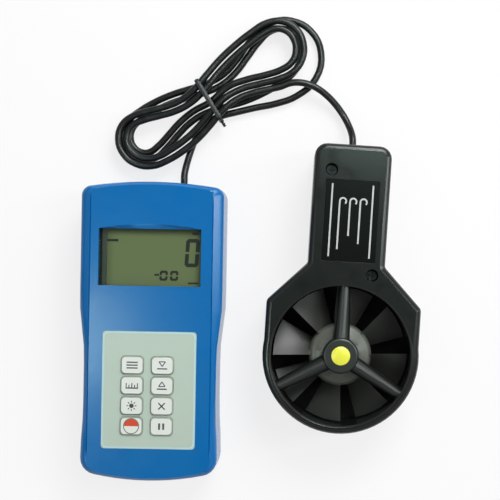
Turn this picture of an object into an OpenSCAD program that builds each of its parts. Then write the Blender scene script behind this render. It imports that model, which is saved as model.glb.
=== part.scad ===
// Vane anemometer: a handheld meter and its corded vane probe, both lying on their backs.
// Millimetres, +Z up. The origin is the middle of the meter's back face.

/* [Meter case] */
// Length of the case between its bowed ends
case_l = 140; // [136:1:146]
// Width of the case beside the display
case_w = 67; // [65:0.5:70]
// Width of the case at its waist
waist_w = 62.4; // [61:0.2:64]
// Width of the case above its foot corners
foot_w = 64.4; // [63.6:0.2:68]
// Thickness of the case
case_h = 30; // [28:0.5:33]
// Height of the joint between the two shells
split_z = 14; // [13.5:0.5:15]
// Wall of the moulded shells
wall = 2; // [1.8:0.1:2.4]
// Depth of the rolled front edge
front_round = 3.3; // [2.6:0.1:4]
// Rounding of the front edge at the two ends
end_round = 1.6; // [1.2:0.1:2.2]
// Half width of the flat face between its two side lines
face_half = 28.4; // [27.8:0.1:28.8]
// Width of a side line
line_w = 1.2; // [0.8:0.1:1.4]
// Depth of a side line
line_d = 0.6; // [0.4:0.1:0.8]
// Rounding of the back edge
back_round = 2.6; // [2:0.1:3.2]
// Draft of the side walls
draft = 0.3; // [0.1:0.1:0.6]
// Rise of the bowed top end
top_bow = 2.2; // [1:0.1:3]
// Rise of the bowed foot end
foot_bow = 2.6; // [1:0.1:3.5]
// Corner radius at the top end
top_r = 5; // [4.5:0.5:7]
// Corner radius at the foot end
foot_r = 8; // [6:0.5:9]
// Height above the foot where the sides are full again
heel_rise = 12; // [10:1:16]
// Height above the foot where the waist starts
waist_lo = 34; // [28:1:40]
// Height above the foot where the waist ends
waist_hi = 58; // [50:1:64]
// Height above the foot where the full width starts
shoulder_rise = 84; // [76:1:90]

/* [Display] */
// Width of the display opening
window_w = 47.5; // [42:0.5:48]
// Height of the display opening
window_h = 26.5; // [23:0.5:28]
// Rise of the arched slope above the opening
window_bow = 2.3; // [1:0.1:3]
// Depth of that slope
slope_d = 1.2; // [0.8:0.1:1.4]
// Overlap of the window plate behind the opening
window_lap = 2; // [1.2:0.1:2.5]
// Thickness of the window plate
window_t = 1.2; // [0.8:0.1:1.6]
// Distance from the top end to the middle of the opening
display_drop = 35.7; // [33:0.5:38]
// Sideways shift of the display opening
display_shift = -0.6; // [-1:0.1:1]
// Width of the LCD glass
lcd_w = 46; // [42:0.5:47]
// Height of the LCD glass
lcd_h = 27; // [24:0.5:28]
// Sideways shift of the LCD behind its opening
lcd_shift = 2.6; // [0:0.1:3]
// Thickness of the LCD glass
lcd_t = 2.2; // [1.6:0.1:2.6]
// Thickness of the backlight plate
backlight_t = 2; // [1.5:0.1:2.5]
// Wall of the LCD frame
frame_wall = 2.4; // [1.6:0.1:2.8]

/* [Keypad] */
// Width of the keypad overlay
overlay_w = 43.5; // [40:0.5:46]
// Height of the keypad overlay
overlay_h = 54.4; // [50:0.2:57]
// Thickness of the keypad overlay
overlay_t = 0.6; // [0.4:0.1:0.8]
// Height of the overlay above the case's face
overlay_proud = 0.1; // [0:0.05:0.2]
// Distance from the foot end to the middle of the overlay
overlay_rise = 42.8; // [41:0.2:45]
// Width of a key
key_w = 10.3; // [9:0.1:11]
// Height of a key
key_h = 8.2; // [7:0.1:8.4]
// Corner radius of a key
key_r = 1.8; // [1:0.1:2.4]
// Height of a key above the overlay
key_proud = 0.9; // [0.6:0.1:1.4]
// Travel of a key
key_travel = 0.4; // [0.2:0.05:0.5]
// Gap round a key
key_gap = 0.2; // [0.1:0.05:0.25]
// Distance between the two key columns
key_pitch_x = 13.9; // [13:0.1:15]
// Distance between the key rows
key_pitch_y = 9.4; // [9.2:0.1:10]
// Distance from the overlay's middle down to the keys' middle
key_drop = 2.5; // [0:0.5:4]
// Sideways shift of the key block
key_shift = -0.7; // [-1:0.1:1]

/* [Board and batteries] */
// Height of the board above the shells' joint
board_lift = 3; // [2.5:0.1:3.5]
// Thickness of the boards
board_t = 1.6; // [1.2:0.1:2]
// Side of a key switch
switch_w = 6; // [5:0.5:6.5]
// Height of a key switch
switch_h = 3; // [2.5:0.1:3.5]
// Radius of a switch plunger
plunger_r = 1.5; // [1.2:0.1:1.8]
// Radius of a cell
cell_r = 5.25; // [5:0.05:5.3]
// Length of a cell with its pip
cell_l = 44.5; // [43:0.5:45]
// Distance between two cells
cell_pitch = 11.4; // [11:0.1:11.5]
// Width of the battery cover
cover_w = 44; // [43:0.5:44.5]
// Length of the battery cover
cover_l = 58; // [57:0.5:61]
// Thickness of the battery cover
cover_t = 1.7; // [1.5:0.1:1.7]
// How far the cover's face lies inside the back
cover_sink = 0.3; // [0.2:0.05:0.4]
// Gap round the battery cover
cover_gap = 0.25; // [0.15:0.05:0.3]

/* [Fasteners] */
// Radius of the screw shanks
screw_r = 1.2; // [1:0.1:1.3]
// Radius of the screw heads
head_r = 2.4; // [2:0.1:2.5]
// Height of the screw heads
head_h = 1.8; // [1.4:0.1:2]

/* [Probe body] */
// Outer radius of the probe's ring
ring_r = 36.8; // [35.6:0.2:38]
// Radius of the air duct
duct_r = 32.6; // [31:0.2:33]
// Thickness of the probe
probe_h = 28; // [27:0.5:30]
// Height of the joint between the probe's shells
probe_split = 14; // [13:0.5:15]
// Rounding of the probe's edges
probe_round = 2.6; // [1:0.1:2.8]
// Chamfer round the duct's mouths
duct_chamfer = 0.8; // [0.6:0.1:1]
// Width of the probe's handle
handle_w = 36.5; // [33:0.5:38]
// Distance from the ring's middle to the handle's end
handle_top = 99; // [95:1:105]
// Corner radius of the handle's end
handle_r = 6; // [3:0.5:7]
// Height of the shoulders' outer corners above the ring's middle
shoulder_y = 24; // [23:0.5:27]
// Height of the neck above the ring's middle
neck_y = 42.5; // [42:0.5:46]
// Width of the probe's label
label_w = 25; // [22:0.5:27]
// Height of the probe's label
label_h = 38; // [32:0.5:39]
// Place of the ring's middle beside the meter
probe_x = 88.8; // [84:0.2:94]
// Place of the ring's middle along the meter
probe_y = -10; // [-14:0.5:-6]
// Lean of the probe, clockwise
probe_lean = 2.7; // [0:0.1:4]

/* [Rotor] */
// Number of blades
blade_count = 8; // [6:1:9]
// Angle that a blade covers
blade_sweep = 31; // [26:1:36]
// Thickness of a blade
blade_t = 1.2; // [0.8:0.1:1.6]
// Gap between the blade tips and the duct
tip_gap = 0.8; // [0.5:0.1:1.2]
// Radius of the impeller's hub
hub_r = 15; // [12:0.5:16]
// Rounding of the hub's upper edge
hub_round = 3; // [1.5:0.5:3]
// Height of the impeller's hub
hub_h = 11.4; // [10:0.2:11.6]
// Turn of the impeller at rest
rotor_phase = 4; // [0:1:44]
// Radius of the rotor shaft
shaft_r = 1; // [0.8:0.05:1.2]
// Outer radius of the bearings
bearing_r = 3; // [2.5:0.1:3.2]
// Radius of the spiders' hubs
bridge_r = 8.4; // [8:0.1:9]
// Rounding of the front spider's hub
bridge_round = 1.2; // [0.8:0.1:1.6]
// Radius of the coloured dot
dot_r = 4.4; // [3.5:0.1:5]
// Width of a spider's arm at its root
arm_root = 8; // [6:0.5:9]
// Width of a spider's arm at its tip
arm_tip = 5.5; // [4:0.5:6]

/* [Cord] */
// Diameter of the cord
cord_d = 3.4; // [3:0.1:3.6]
// Length of the hank's lobe beside the meter
hank_near = 51; // [49:1:54]
// Length of the hank's lobe above the probe
hank_far = 57; // [55:1:60]
// Half width of the hank's outer loop at the tie
hank_waist = 9.5; // [9.5:0.1:10]
// How much the outer loop swells in the near lobe
near_swell = 20; // [19:0.5:22]
// How much the outer loop swells in the far lobe
far_swell = 23; // [22:0.5:25]
// How far the far lobe bends upwards
far_bend = 8; // [5:0.5:9]
// How far the first loop hangs out of the far lobe
loose = 11; // [6:1:12]
// Distance between neighbouring loops
hank_step = 4.4; // [4.4:0.05:4.5]
// Distance between the hank's two layers
hank_layer = 4.8; // [4.8:0.05:5]

/* [Fits] */
// Gap between pieces that are seated
seat_gap = 0.05; // [0.02:0.01:0.1]
// Radial gap of the running shaft
run_gap = 0.04; // [0.02:0.01:0.08]

/* [Hidden] */
$fn = 48;
KEYS = ["function_key", "unit_key", "light_key", "power_key", "down_key", "up_key", "clear_key", "hold_key"];
PLUNGERS = ["function_plunger", "unit_plunger", "light_plunger", "power_plunger",
    "down_plunger", "up_plunger", "clear_plunger", "hold_plunger"];

blue = [0.13, 0.42, 0.70];
black = [0.13, 0.14, 0.14];
charcoal = [0.24, 0.25, 0.24];
pale = [0.72, 0.79, 0.73];
white = [0.90, 0.91, 0.90];
steel = [0.70, 0.70, 0.72];
gold = [0.80, 0.66, 0.30];
green = [0.10, 0.38, 0.20];

eps = 0.5;
foot_y = -case_l/2;
top_y = case_l/2;
corner_n = 5;
bow_n = 5;
side_n = 14;

// Meter levels from the face down to the board
face_in = case_h - wall;
window_z = face_in - window_t;
lcd_z = window_z - 0.1 - lcd_t;
backlight_z = lcd_z - backlight_t;
board_z = split_z + board_lift;
board_top = board_z + board_t;
display_y = top_y - display_drop;
overlay_y = foot_y + overlay_rise;
overlay_z = case_h + overlay_proud - overlay_t;
key_top = case_h + overlay_proud + key_proud;
key_step = 0.3;
key_lip = 0.4;
key_lip_t = 1.2;
key_lip_z = face_in - seat_gap - key_lip_t;
plunger_top = board_top + switch_h + key_travel + 0.4;
plunger_low = board_top + switch_h - 0.7;
plunger_gap = 0.1;

// Screw places
boss_r = 3.2;
boss_spots = [for (s = [-1, 1]) each [[s*(case_w/2 - 7), top_y - 7.5], [s*(foot_w/2 - 5.8), foot_y + 12]]];
head_seat = 2.8;
board_half = waist_w/2 - wall - 2.2;
board_lo = foot_y + 16;
board_hi = top_y - 13;
pillar_r = 2.4;
pillar_spots = [for (s = [-1, 1], y = [board_hi - 3, board_lo + 4]) [s*(board_half - 4), y]];

// Chips below the LCD frame: place across, distance below the frame, width, length, height
chip_row = display_y - lcd_h/2 - frame_wall;
chips = [[-14, 9, 11, 9, 1.2], [2, 8, 6, 5, 1.4], [13, 10, 7, 4, 1.2]];
crystal_spot = [20, 9];
crystal_r = 1.8;
crystal_h = 3.2;
board_bite = 5;

// Battery bay, from the cover inwards
cover_hi = foot_y + cover_l;
cover_top = cover_sink + cover_t;
grip_half = 9;
grip_drop = 5;
grip_w = 1;
grip_d = 0.4;
path_top = cover_top + 0.3;
tongue = 1.2;
tongue_z = cover_sink + 0.6;
tongue_t = 0.7;
contact_t = 0.4;
contact_w = 8;
spring_r = 3.4;
spring_tip_r = 2.2;
spring_wire = 0.35;
spring_l = 3.2;
bay_wall = 1.4;
bay_hi = cover_hi - 1.5;
bay_lo = bay_hi - cell_l - spring_l - 2*contact_t - 0.3;
bay_half = 1.5*cell_pitch + cell_r + 0.45;
cell_z = path_top + 0.05 + cell_r;
bay_in = cell_z + cell_r + 0.1;
bay_top = bay_in + 1;
rail_w = 3;
rail_top = path_top + 1.2;
slot_half = cover_w/2 + cover_gap;
groove_gap = 0.15;
lip_half = 8;
lip_l = 1.4;
lip_t = 0.8;

// Cord exits
exit_x = 12.4;
exit_z = 9;
sleeve_r = 2.6;
sleeve_proud = 0.2;

// Probe levels
cavity_lo = 18;
duct_wall = 2.2;
shoulder_in = 0.4;
shoulder_r = 3;
neck_r = 2;
ring_n = 20;
probe_screw_spots = [[-9.7, 86.5], [12.2, 38.3]];
probe_head_z = probe_h - 5;
probe_screw_low = 5;
label_spot = [0.5, 63];
label_t = 0.35;
label_sink = 0.3;
arm_angles = [90, 210, 330];
arm_in = 1.2;
bridge_h = 6.8;
bridge_lo = probe_h - 0.6 - bridge_h;
bearing_h = 2.6;
bearing_floor = 0.3;
rear_lo = 1;
rear_hi = 7;
rear_arm_hi = 5;
hub_lo = rear_hi + 1.2;
dot_sink = 0.6;
magnet_r = 6.3;
magnet_h = 2.6;
ribbon_w = 2.4;
ribbon_t = 0.6;
sensor_lo = bearing_r + 1.3;
pickup_lo = 42;
pickup_hi = 76;
pickup_half = 9;
ribbon_hi = pickup_lo + 2;

// Cord routes, chosen points from the meter's exit and to the probe's exit
hank_spot = [22.8, 112.3];
hank_turn = 33;
hank_z = cord_d/2 + 0.1;
hank_hump = 1;
hump_reach = 12;
twist_low = -14;
twist_high = 16;
twist_reach = 24;
hank_start = 0.08;
hank_end = 8.2;
turn_back = 4;
climb = 0.16;
loose_spot = 0.29;
loose_reach = 0.27;
loop_rings = 24;
meter_route = [[12.4, 74.6, 8.7], [12.8, 78, 7.4], [13.5, 82, 5.2], [14.4, 86, 3.2], [15.5, 89.8, 2.2],
    [16.9, 93.4, 1.9], [18.6, 96.8, 2], [20.6, 99.6, 2.3], [23, 101.7, 2.7], [25.8, 103.1, 2.8]];
probe_route = [[67, 124.6, 6.6], [71, 124, 6.5], [75.5, 122, 6.2], [80, 118.6, 5.2], [84.2, 114.8, 3.8],
    [87.8, 111.2, 3], [90.6, 107.6, 2.8], [92.6, 103.6, 3.8], [93.7, 99.2, 6], [93.9, 95, 8]];

// Shared forms
function ramp(t) = let (u = max(0, min(1, t))) u*u*(3 - 2*u);
function unit(v) = v/norm(v);
function at_z(points, z) = [for (p = points) [p.x, p.y, z]];
function mirrored(half) = concat(half, [for (i = [len(half) - 2:-1:1]) [-half[i].x, half[i].y]]);

// Skin over equal rings; a strip's end caps are cut into pairs of triangles, for rings that are not flat
module loft(rings, strip = false) {
    n = len(rings[0]);
    last = (len(rings) - 1)*n;
    sides = [for (j = [0:len(rings) - 2], i = [0:n - 1])
        let (a = j*n + i, b = j*n + (i + 1) % n) each [[a, a + n, b + n], [a, b + n, b]]];
    low = strip ? [for (i = [0:n/2 - 2]) each [[i, i + 1, n - 2 - i], [i, n - 2 - i, n - 1 - i]]]
        : [[for (i = [0:n - 1]) i]];
    high = [for (f = low) [for (i = [len(f) - 1:-1:0]) last + f[i]]];
    polyhedron([for (r = rings) each r], concat(low, high, sides));
}

function tangent(p, i) = unit(p[min(i + 1, len(p) - 1)] - p[max(i - 1, 0)]);
function tube_ring(p, i, r, sides, up) = let (t = tangent(p, i), s = unit(cross(up, t)), u = cross(t, s))
    [for (k = [0:sides - 1]) p[i] + r*(cos(360*k/sides)*s + sin(360*k/sides)*u)];

module tube(p, r, sides, up = [0, 0, 1]) {
    loft([for (i = [0:len(p) - 1]) tube_ring(p, i, r, sides, up)]);
}

module round_rect(w, h, r) {
    square([w - 2*r, h], center = true);
    square([w, h - 2*r], center = true);
    for (x = [-1, 1], y = [-1, 1]) translate([x*(w/2 - r), y*(h/2 - r)]) circle(r);
}

module block(w, l, z0, z1) {
    translate([-w/2, -l/2, z0]) cube([w, l, z1 - z0]);
}

module span(x0, x1, y0, y1, z0, z1) {
    translate([x0, y0, z0]) cube([x1 - x0, y1 - y0, z1 - z0]);
}

module post(spot, r, z0, z1) {
    translate([spot.x, spot.y, z0]) cylinder(r = r, h = z1 - z0);
}

// A screw whose head's underside is at z = 0 and whose shank points up
module screw(shank) {
    difference() {
        union() {
            translate([0, 0, -head_h]) cylinder(r = head_r, h = head_h);
            cylinder(r = screw_r, h = shank);
        }
        for (a = [0, 90]) rotate(a) translate([0, 0, -head_h - eps]) block(head_r*1.2, 0.6, 0, eps + 0.8);
    }
}

// Meter case outline: bowed ends, round corners, waisted sides
function half_w(y) = waist_w/2
    + (case_w - waist_w)/2*ramp((y - foot_y - waist_hi)/(shoulder_rise - waist_hi))
    + (foot_w - waist_w)/2*ramp((foot_y + waist_lo - y)/(waist_lo - heel_rise));
function end_points(w, bow, r, d) = let (a = atan(4*bow/w), q = max(0.6, r - d),
    c = [w/2 - d - q, top_y - d - bow - q*cos(a)], edge = c.x + q*sin(a))
    concat([for (i = [0:corner_n]) let (t = (90 - a)*i/corner_n) c + q*[cos(t), sin(t)]],
        [for (i = [1:bow_n]) let (x = edge*(1 - i/bow_n)) [x, top_y - d - bow*pow(x/edge, 2)]]);
function case_right(d) = let (top = end_points(case_w, top_bow, top_r, d),
    foot = end_points(foot_w, foot_bow, foot_r, d), lo = -foot[0].y, hi = top[0].y)
    concat([for (i = [len(foot) - 1:-1:0]) [foot[i].x, -foot[i].y]],
        [for (i = [1:side_n - 1]) let (y = lo + (hi - lo)*i/side_n) [half_w(y) - d, y]], top);
function case_ring(d, z) = at_z(mirrored(case_right(d)), z);

// Rolled front edge from the side wall to the face: share of its width, share of its depth.
// Its inner line runs straight along the sides, though the case is waisted.
edge_roll = [[0, 1], [0.08, 0.72], [0.25, 0.48], [0.5, 0.28], [1, 0]];
function roll_ring(in, drop) = let (d = draft + end_round*in, right = case_right(d))
    at_z(mirrored([for (p = right) let (w = half_w(p.y))
        [p.x*(1 - in*(w - draft - end_round - face_half)/(w - d)), p.y]]), case_h - front_round*drop);

module case_front_form() {
    loft(concat([case_ring(0, split_z)], [for (e = edge_roll) roll_ring(e[0], e[1])]));
}

// Straight grooves between the face and its rolled edges, running out at their ends
module face_lines() {
    fade = 4;
    ends = [[foot_y + 11, 0.05], [foot_y + 11 + fade, 1], [top_y - 6 - fade, 1], [top_y - 6, 0.05]];
    for (s = [-1, 1]) translate([s*face_half, 0, case_h])
        loft([for (e = ends) [[line_w/2*e[1], e[0], eps], [0, e[0], -line_d*e[1]], [-line_w/2*e[1], e[0], eps]]]);
}

module case_back_form() {
    loft(concat([for (t = [90:-22.5:0]) case_ring(draft + back_round*(1 - cos(t)), back_round*(1 - sin(t)))],
        [case_ring(0, split_z)]));
}

module front_hollow() {
    loft([case_ring(wall, split_z - eps), case_ring(wall + draft, face_in - front_round),
        case_ring(wall + draft + 1.3, face_in)]);
}

module back_hollow() {
    loft([case_ring(wall + draft + 0.8, wall), case_ring(wall + draft, wall + back_round),
        case_ring(wall, split_z + eps)]);
}

// Display opening: a rectangle, under a shallow slope that ends in an arched edge on the face
function opening_ring(bow, z) = let (w = window_w/2, h = window_h/2, steps = 8)
    concat([[-w, -h, z], [w, -h, z]], [for (i = [0:steps])
        let (x = w*(1 - 2*i/steps)) [x, h + bow*(1 - pow(x/w, 2)), z]]);

module display_cut() {
    block(window_w, window_h, face_in - eps, case_h + eps);
    loft([opening_ring(0.05, face_in + wall - slope_d), opening_ring(window_bow, case_h),
        opening_ring(window_bow, case_h + eps)]);
}

module at_display(shift = 0) {
    translate([display_shift + shift, display_y, 0]) children();
}

function key_spot(k) = [key_shift + (floor(k/4) - 0.5)*key_pitch_x,
    overlay_y - key_drop + (1.5 - k % 4)*key_pitch_y];

module key_holes(z0, z1) {
    for (k = [0:7]) translate([key_spot(k).x, key_spot(k).y, z0])
        linear_extrude(z1 - z0) round_rect(key_w + 2*key_gap, key_h + 2*key_gap, key_r + key_gap);
}

module front_shell() {
    color(blue) difference() {
        union() {
            difference() {
                case_front_form();
                front_hollow();
            }
            for (p = boss_spots) post(p, boss_r, split_z, face_in + eps);
            for (p = pillar_spots) post(p, pillar_r, board_top, face_in + eps);
        }
        face_lines();
        at_display() display_cut();
        translate([0, overlay_y, overlay_z]) linear_extrude(overlay_t + eps)
            round_rect(overlay_w + 2*seat_gap, overlay_h + 2*seat_gap, 1.6);
        key_holes(face_in - eps, case_h + eps);
        for (p = boss_spots) post(p, screw_r + seat_gap, split_z - eps, split_z + 10);
        for (p = pillar_spots) post(p, screw_r + seat_gap, board_top - eps, board_top + 6);
    }
}

module rear_shell() {
    color(blue) difference() {
        union() {
            difference() {
                case_back_form();
                back_hollow();
            }
            for (p = boss_spots) post(p, boss_r + 0.4, 0, split_z);
            translate([0, (bay_lo + bay_hi)/2, 0])
                block(2*(bay_half + bay_wall), bay_hi - bay_lo + 2*bay_wall, wall - eps, bay_top);
            for (s = [-1, 1]) translate([s*(slot_half + rail_w/2), 0, 0])
                span(-rail_w/2, rail_w/2, bay_lo - bay_wall, cover_hi + bay_wall, eps, rail_top);
        }
        span(-bay_half, bay_half, bay_lo, bay_hi, rail_top, bay_in);
        span(-slot_half, slot_half, bay_lo, bay_hi, wall - eps, bay_in);
        span(-slot_half, slot_half, foot_y - eps, cover_hi + cover_gap, -eps, path_top);
        span(-slot_half - tongue, slot_half + tongue, foot_y - eps, cover_hi + cover_gap,
            tongue_z - groove_gap, tongue_z + tongue_t + groove_gap);
        span(-lip_half - cover_gap, lip_half + cover_gap, cover_hi - eps, cover_hi + lip_l + cover_gap,
            cover_top - lip_t - groove_gap, path_top);
        for (p = boss_spots) {
            post(p, head_r + 0.3, -eps, head_seat);
            post(p, screw_r + 0.25, 0, split_z + eps);
        }
        translate([exit_x, top_y + eps, exit_z]) rotate([90, 0, 0]) cylinder(r = sleeve_r + seat_gap, h = 8);
    }
}

module case_screws() {
    color(steel) for (p = boss_spots) translate([p.x, p.y, head_seat]) screw(split_z + 9 - head_seat);
}

module display_window() {
    color([0.75, 0.85, 0.80]) at_display()
        block(window_w + 2*window_lap, window_h + 2*window_lap, window_z, face_in);
}

module lcd_panel() {
    color([0.42, 0.47, 0.32]) at_display(lcd_shift) block(lcd_w, lcd_h, lcd_z, lcd_z + lcd_t);
}

module lcd_frame() {
    color(black) at_display(lcd_shift) difference() {
        block(lcd_w + 2*frame_wall, lcd_h + 2*frame_wall, board_top, window_z);
        block(lcd_w + 2*seat_gap, lcd_h + 2*seat_gap, backlight_z, window_z + eps);
        block(lcd_w - 3, lcd_h - 3, board_top - eps, window_z);
    }
}

module backlight_plate() {
    color(white) at_display(lcd_shift) block(lcd_w, lcd_h - 7, backlight_z, lcd_z);
}

module connector_strips() {
    color([0.85, 0.65, 0.60]) at_display(lcd_shift) for (s = [-1, 1]) translate([0, s*(lcd_h/2 - 2.5), 0])
        block(lcd_w - 6, 1.6, board_top, lcd_z);
}

module main_board() {
    color(green) difference() {
        span(-board_half, board_half, board_lo, board_hi, board_z, board_top);
        for (p = pillar_spots) post(p, screw_r + 0.15, board_z - eps, board_top + eps);
    }
}

module board_screws() {
    color(steel) for (p = pillar_spots) translate([p.x, p.y, board_z]) screw(board_t + board_bite);
}

module board_chips() {
    color(black) {
        for (c = chips) translate([c[0], chip_row - c[1], 0]) block(c[2], c[3], board_top, board_top + c[4]);
        translate([crystal_spot.x, chip_row - crystal_spot.y, board_top])
            cylinder(r = crystal_r, h = crystal_h);
    }
}

module switch_housings() {
    color(charcoal) for (k = [0:7]) translate([key_spot(k).x, key_spot(k).y, 0]) difference() {
        block(switch_w, switch_w, board_top, board_top + switch_h);
        translate([0, 0, plunger_low - key_travel - 0.2])
            cylinder(r = plunger_r + plunger_gap, h = switch_h);
    }
}

module keypad_overlay() {
    color(pale) difference() {
        translate([0, overlay_y, overlay_z]) linear_extrude(overlay_t) round_rect(overlay_w, overlay_h, 1.6);
        key_holes(overlay_z - eps, case_h + eps);
    }
}

module key(k) {
    color(white) translate([key_spot(k).x, key_spot(k).y, 0]) {
        translate([0, 0, key_lip_z]) linear_extrude(key_top - key_step - key_lip_z)
            round_rect(key_w, key_h, key_r);
        translate([0, 0, key_top - key_step]) linear_extrude(key_step)
            round_rect(key_w - 2*key_step, key_h - 2*key_step, key_r - key_step);
        translate([0, 0, key_lip_z]) linear_extrude(key_lip_t)
            round_rect(key_w + 2*key_lip, key_h + 2*key_lip, key_r + key_lip);
        translate([0, 0, plunger_top]) cylinder(r = plunger_r, h = key_lip_z + 0.2 - plunger_top);
    }
}

module plunger(k) {
    color(black) translate([key_spot(k).x, key_spot(k).y, plunger_low])
        cylinder(r = plunger_r, h = plunger_top - plunger_low);
}

module cord_header() {
    color(white) span(exit_x - 4, exit_x + 4, board_hi - 8, board_hi - 1, board_z - 5, board_z);
}

module grommet(outer) {
    color(black) rotate([90, 0, 0]) {
        translate([0, 0, -outer]) cylinder(r = sleeve_r, h = 4.7);
        translate([0, 0, 3]) cylinder(r = 4, h = 1.2);
    }
}

module meter_grommet() {
    translate([exit_x, top_y, exit_z]) grommet(sleeve_proud);
}

module battery_cover() {
    color(blue) difference() {
        union() {
            intersection() {
                case_back_form();
                span(-cover_w/2, cover_w/2, foot_y - eps, cover_hi, cover_sink, cover_top);
            }
            span(-cover_w/2 - tongue, cover_w/2 + tongue, bay_lo, bay_hi, tongue_z, tongue_z + tongue_t);
            span(-lip_half, lip_half, cover_hi - eps, cover_hi + lip_l, cover_top - lip_t, cover_top);
        }
        for (i = [0:4]) let (y = cover_hi - grip_drop - 2*grip_w*i)
            span(-grip_half, grip_half, y - grip_w, y, -eps, cover_sink + grip_d);
    }
}

function cell_x(i) = (i - 1.5)*cell_pitch;
function cell_way(i) = i % 2 == 0 ? 1 : -1;

// Places a child that points from a cell's spring end (z = 0) to its pip end
module along_cell(i) {
    way = cell_way(i);
    translate([cell_x(i), way > 0 ? bay_lo : bay_hi, cell_z]) rotate([-90*way, 0, 0]) children();
}

module battery_cells() {
    color([0.25, 0.27, 0.30]) for (i = [0:3]) along_cell(i) translate([0, 0, contact_t + spring_l]) {
        cylinder(r = cell_r, h = cell_l - 1.2);
        cylinder(r = 1.9, h = cell_l);
    }
}

module battery_contacts() {
    color(steel) for (i = [0:3]) along_cell(i) {
        block(contact_w, contact_w, 0, contact_t);
        block(contact_w, contact_w, bay_hi - bay_lo - contact_t, bay_hi - bay_lo);
    }
}

module battery_springs() {
    turns = 2.5;
    steps = 8;
    last = turns*steps;
    run = spring_l - 2*spring_wire - 2*seat_gap;
    color(steel) for (i = [0:3]) along_cell(i) tube([for (k = [0:last])
        let (r = spring_r + (spring_tip_r - spring_r)*k/last) [r*cos(360*k/steps), r*sin(360*k/steps),
        contact_t + spring_wire + seat_gap + run*k/last]], spring_wire, 6);
}

// Probe, drawn about the ring's middle and leaned into place
module on_probe() {
    translate([probe_x, probe_y, 0]) rotate(-probe_lean) children();
}

function fillet(p0, p1, p2, r, n) = let (a = unit(p0 - p1), b = unit(p2 - p1), h = acos(a*b)/2,
    c = p1 + unit(a + b)*r/sin(h), s = p1 + a*r/tan(h) - c, e = p1 + b*r/tan(h) - c,
    a0 = atan2(s.y, s.x), turn = (atan2(e.y, e.x) - a0 + 540) % 360 - 180)
    [for (i = [0:n]) c + r*[cos(a0 + turn*i/n), sin(a0 + turn*i/n)]];
function probe_right(d) = let (w = handle_w/2 - d, s = ring_r - shoulder_in - d, q = ring_r - d,
    top = handle_top - d, e = unit([handle_w/2 - ring_r + shoulder_in, neck_y - shoulder_y]),
    drop = d*(1 - e.y)/-e.x, corner = [s, shoulder_y - drop], neck = [w, neck_y - drop], join = acos(s/q))
    concat([for (i = [0:ring_n]) let (t = -90 + (90 + join)*i/ring_n) q*[cos(t), sin(t)]],
        fillet([s, 0], corner, neck, max(0.6, shoulder_r - d), 3),
        fillet(corner, neck, [w, top], neck_r + d, 3),
        fillet(neck, [w, top], [0, top], max(0.6, handle_r - d), 5), [[0, top]]);
function probe_ring(d, z) = at_z(mirrored(probe_right(d)), z);

module probe_form() {
    steps = [0:30:90];
    loft(concat([for (t = [90:-30:0]) probe_ring(0.2 + probe_round*(1 - cos(t)), probe_round*(1 - sin(t)))],
        [probe_ring(0, probe_split)],
        [for (t = steps) probe_ring(0.2 + probe_round*(1 - cos(t)), probe_h - probe_round*(1 - sin(t)))]));
}

module probe_hollow(z0, z1) {
    translate([0, 0, z0]) linear_extrude(z1 - z0) difference() {
        polygon(mirrored(probe_right(wall + 0.2)));
        circle(duct_r + duct_wall);
        translate([-2*ring_r, cavity_lo - 4*ring_r]) square(4*ring_r);
    }
}

module arm_pockets(z0, z1) {
    for (a = arm_angles) rotate(a)
        span(duct_r - 2, duct_r + arm_in + seat_gap, -arm_tip/2 - 0.1, arm_tip/2 + 0.1, z0 - 0.1, z1 + 0.1);
}

module probe_half(z0, z1, hollow0, hollow1) {
    difference() {
        intersection() {
            probe_form();
            block(4*ring_r, 4*handle_top, z0, z1);
        }
        probe_hollow(hollow0, hollow1);
        translate([0, 0, z0 - 1]) cylinder(r = duct_r, h = z1 - z0 + 2, $fn = 96);
    }
}

front_arm_lo = bridge_lo + 1;
front_arm_hi = bridge_lo + 4.6;

module probe_front_shell() {
    color(charcoal) on_probe() difference() {
        union() {
            probe_half(probe_split, probe_h, probe_split - eps, probe_h - wall);
            for (p = probe_screw_spots) post(p, head_r + 1.5, probe_split, probe_h - 1);
        }
        translate([0, 0, probe_h - duct_chamfer])
            cylinder(r1 = duct_r, r2 = duct_r + duct_chamfer + eps, h = duct_chamfer + eps, $fn = 96);
        arm_pockets(front_arm_lo, front_arm_hi);
        for (p = probe_screw_spots) {
            post(p, head_r + 0.5, probe_head_z, probe_h + eps);
            post(p, screw_r + 0.25, probe_split - eps, probe_h);
        }
        translate([label_spot.x, label_spot.y, probe_h - label_sink]) linear_extrude(1)
            round_rect(label_w + 2*seat_gap, label_h + 2*seat_gap, 0.8);
    }
}

module probe_rear_shell() {
    color(black) on_probe() difference() {
        union() {
            probe_half(0, probe_split, wall, probe_split + eps);
            for (p = probe_screw_spots) post(p, screw_r + 2.2, wall - eps, probe_split);
            for (v = [pickup_lo + 4, pickup_hi - 6])
                span(-pickup_half, pickup_half, v, v + 1.5, wall - eps, rear_arm_hi + ribbon_t);
        }
        translate([0, 0, -eps])
            cylinder(r1 = duct_r + duct_chamfer + eps, r2 = duct_r, h = duct_chamfer + eps, $fn = 96);
        arm_pockets(rear_lo, rear_arm_hi);
        span(-ribbon_w/2 - 0.2, ribbon_w/2 + 0.2, duct_r - 2, duct_r + duct_wall + 1,
            rear_arm_hi - 0.1, rear_arm_hi + ribbon_t + 0.2);
        for (p = probe_screw_spots) post(p, screw_r + seat_gap, 4, probe_split + eps);
        translate([0, handle_top + eps, exit_z]) rotate([90, 0, 0]) cylinder(r = sleeve_r + seat_gap, h = 8);
    }
}

module probe_screws() {
    color(steel) on_probe() for (p = probe_screw_spots) translate([p.x, p.y, probe_head_z]) mirror([0, 0, 1])
        screw(probe_head_z - probe_screw_low);
}

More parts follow.
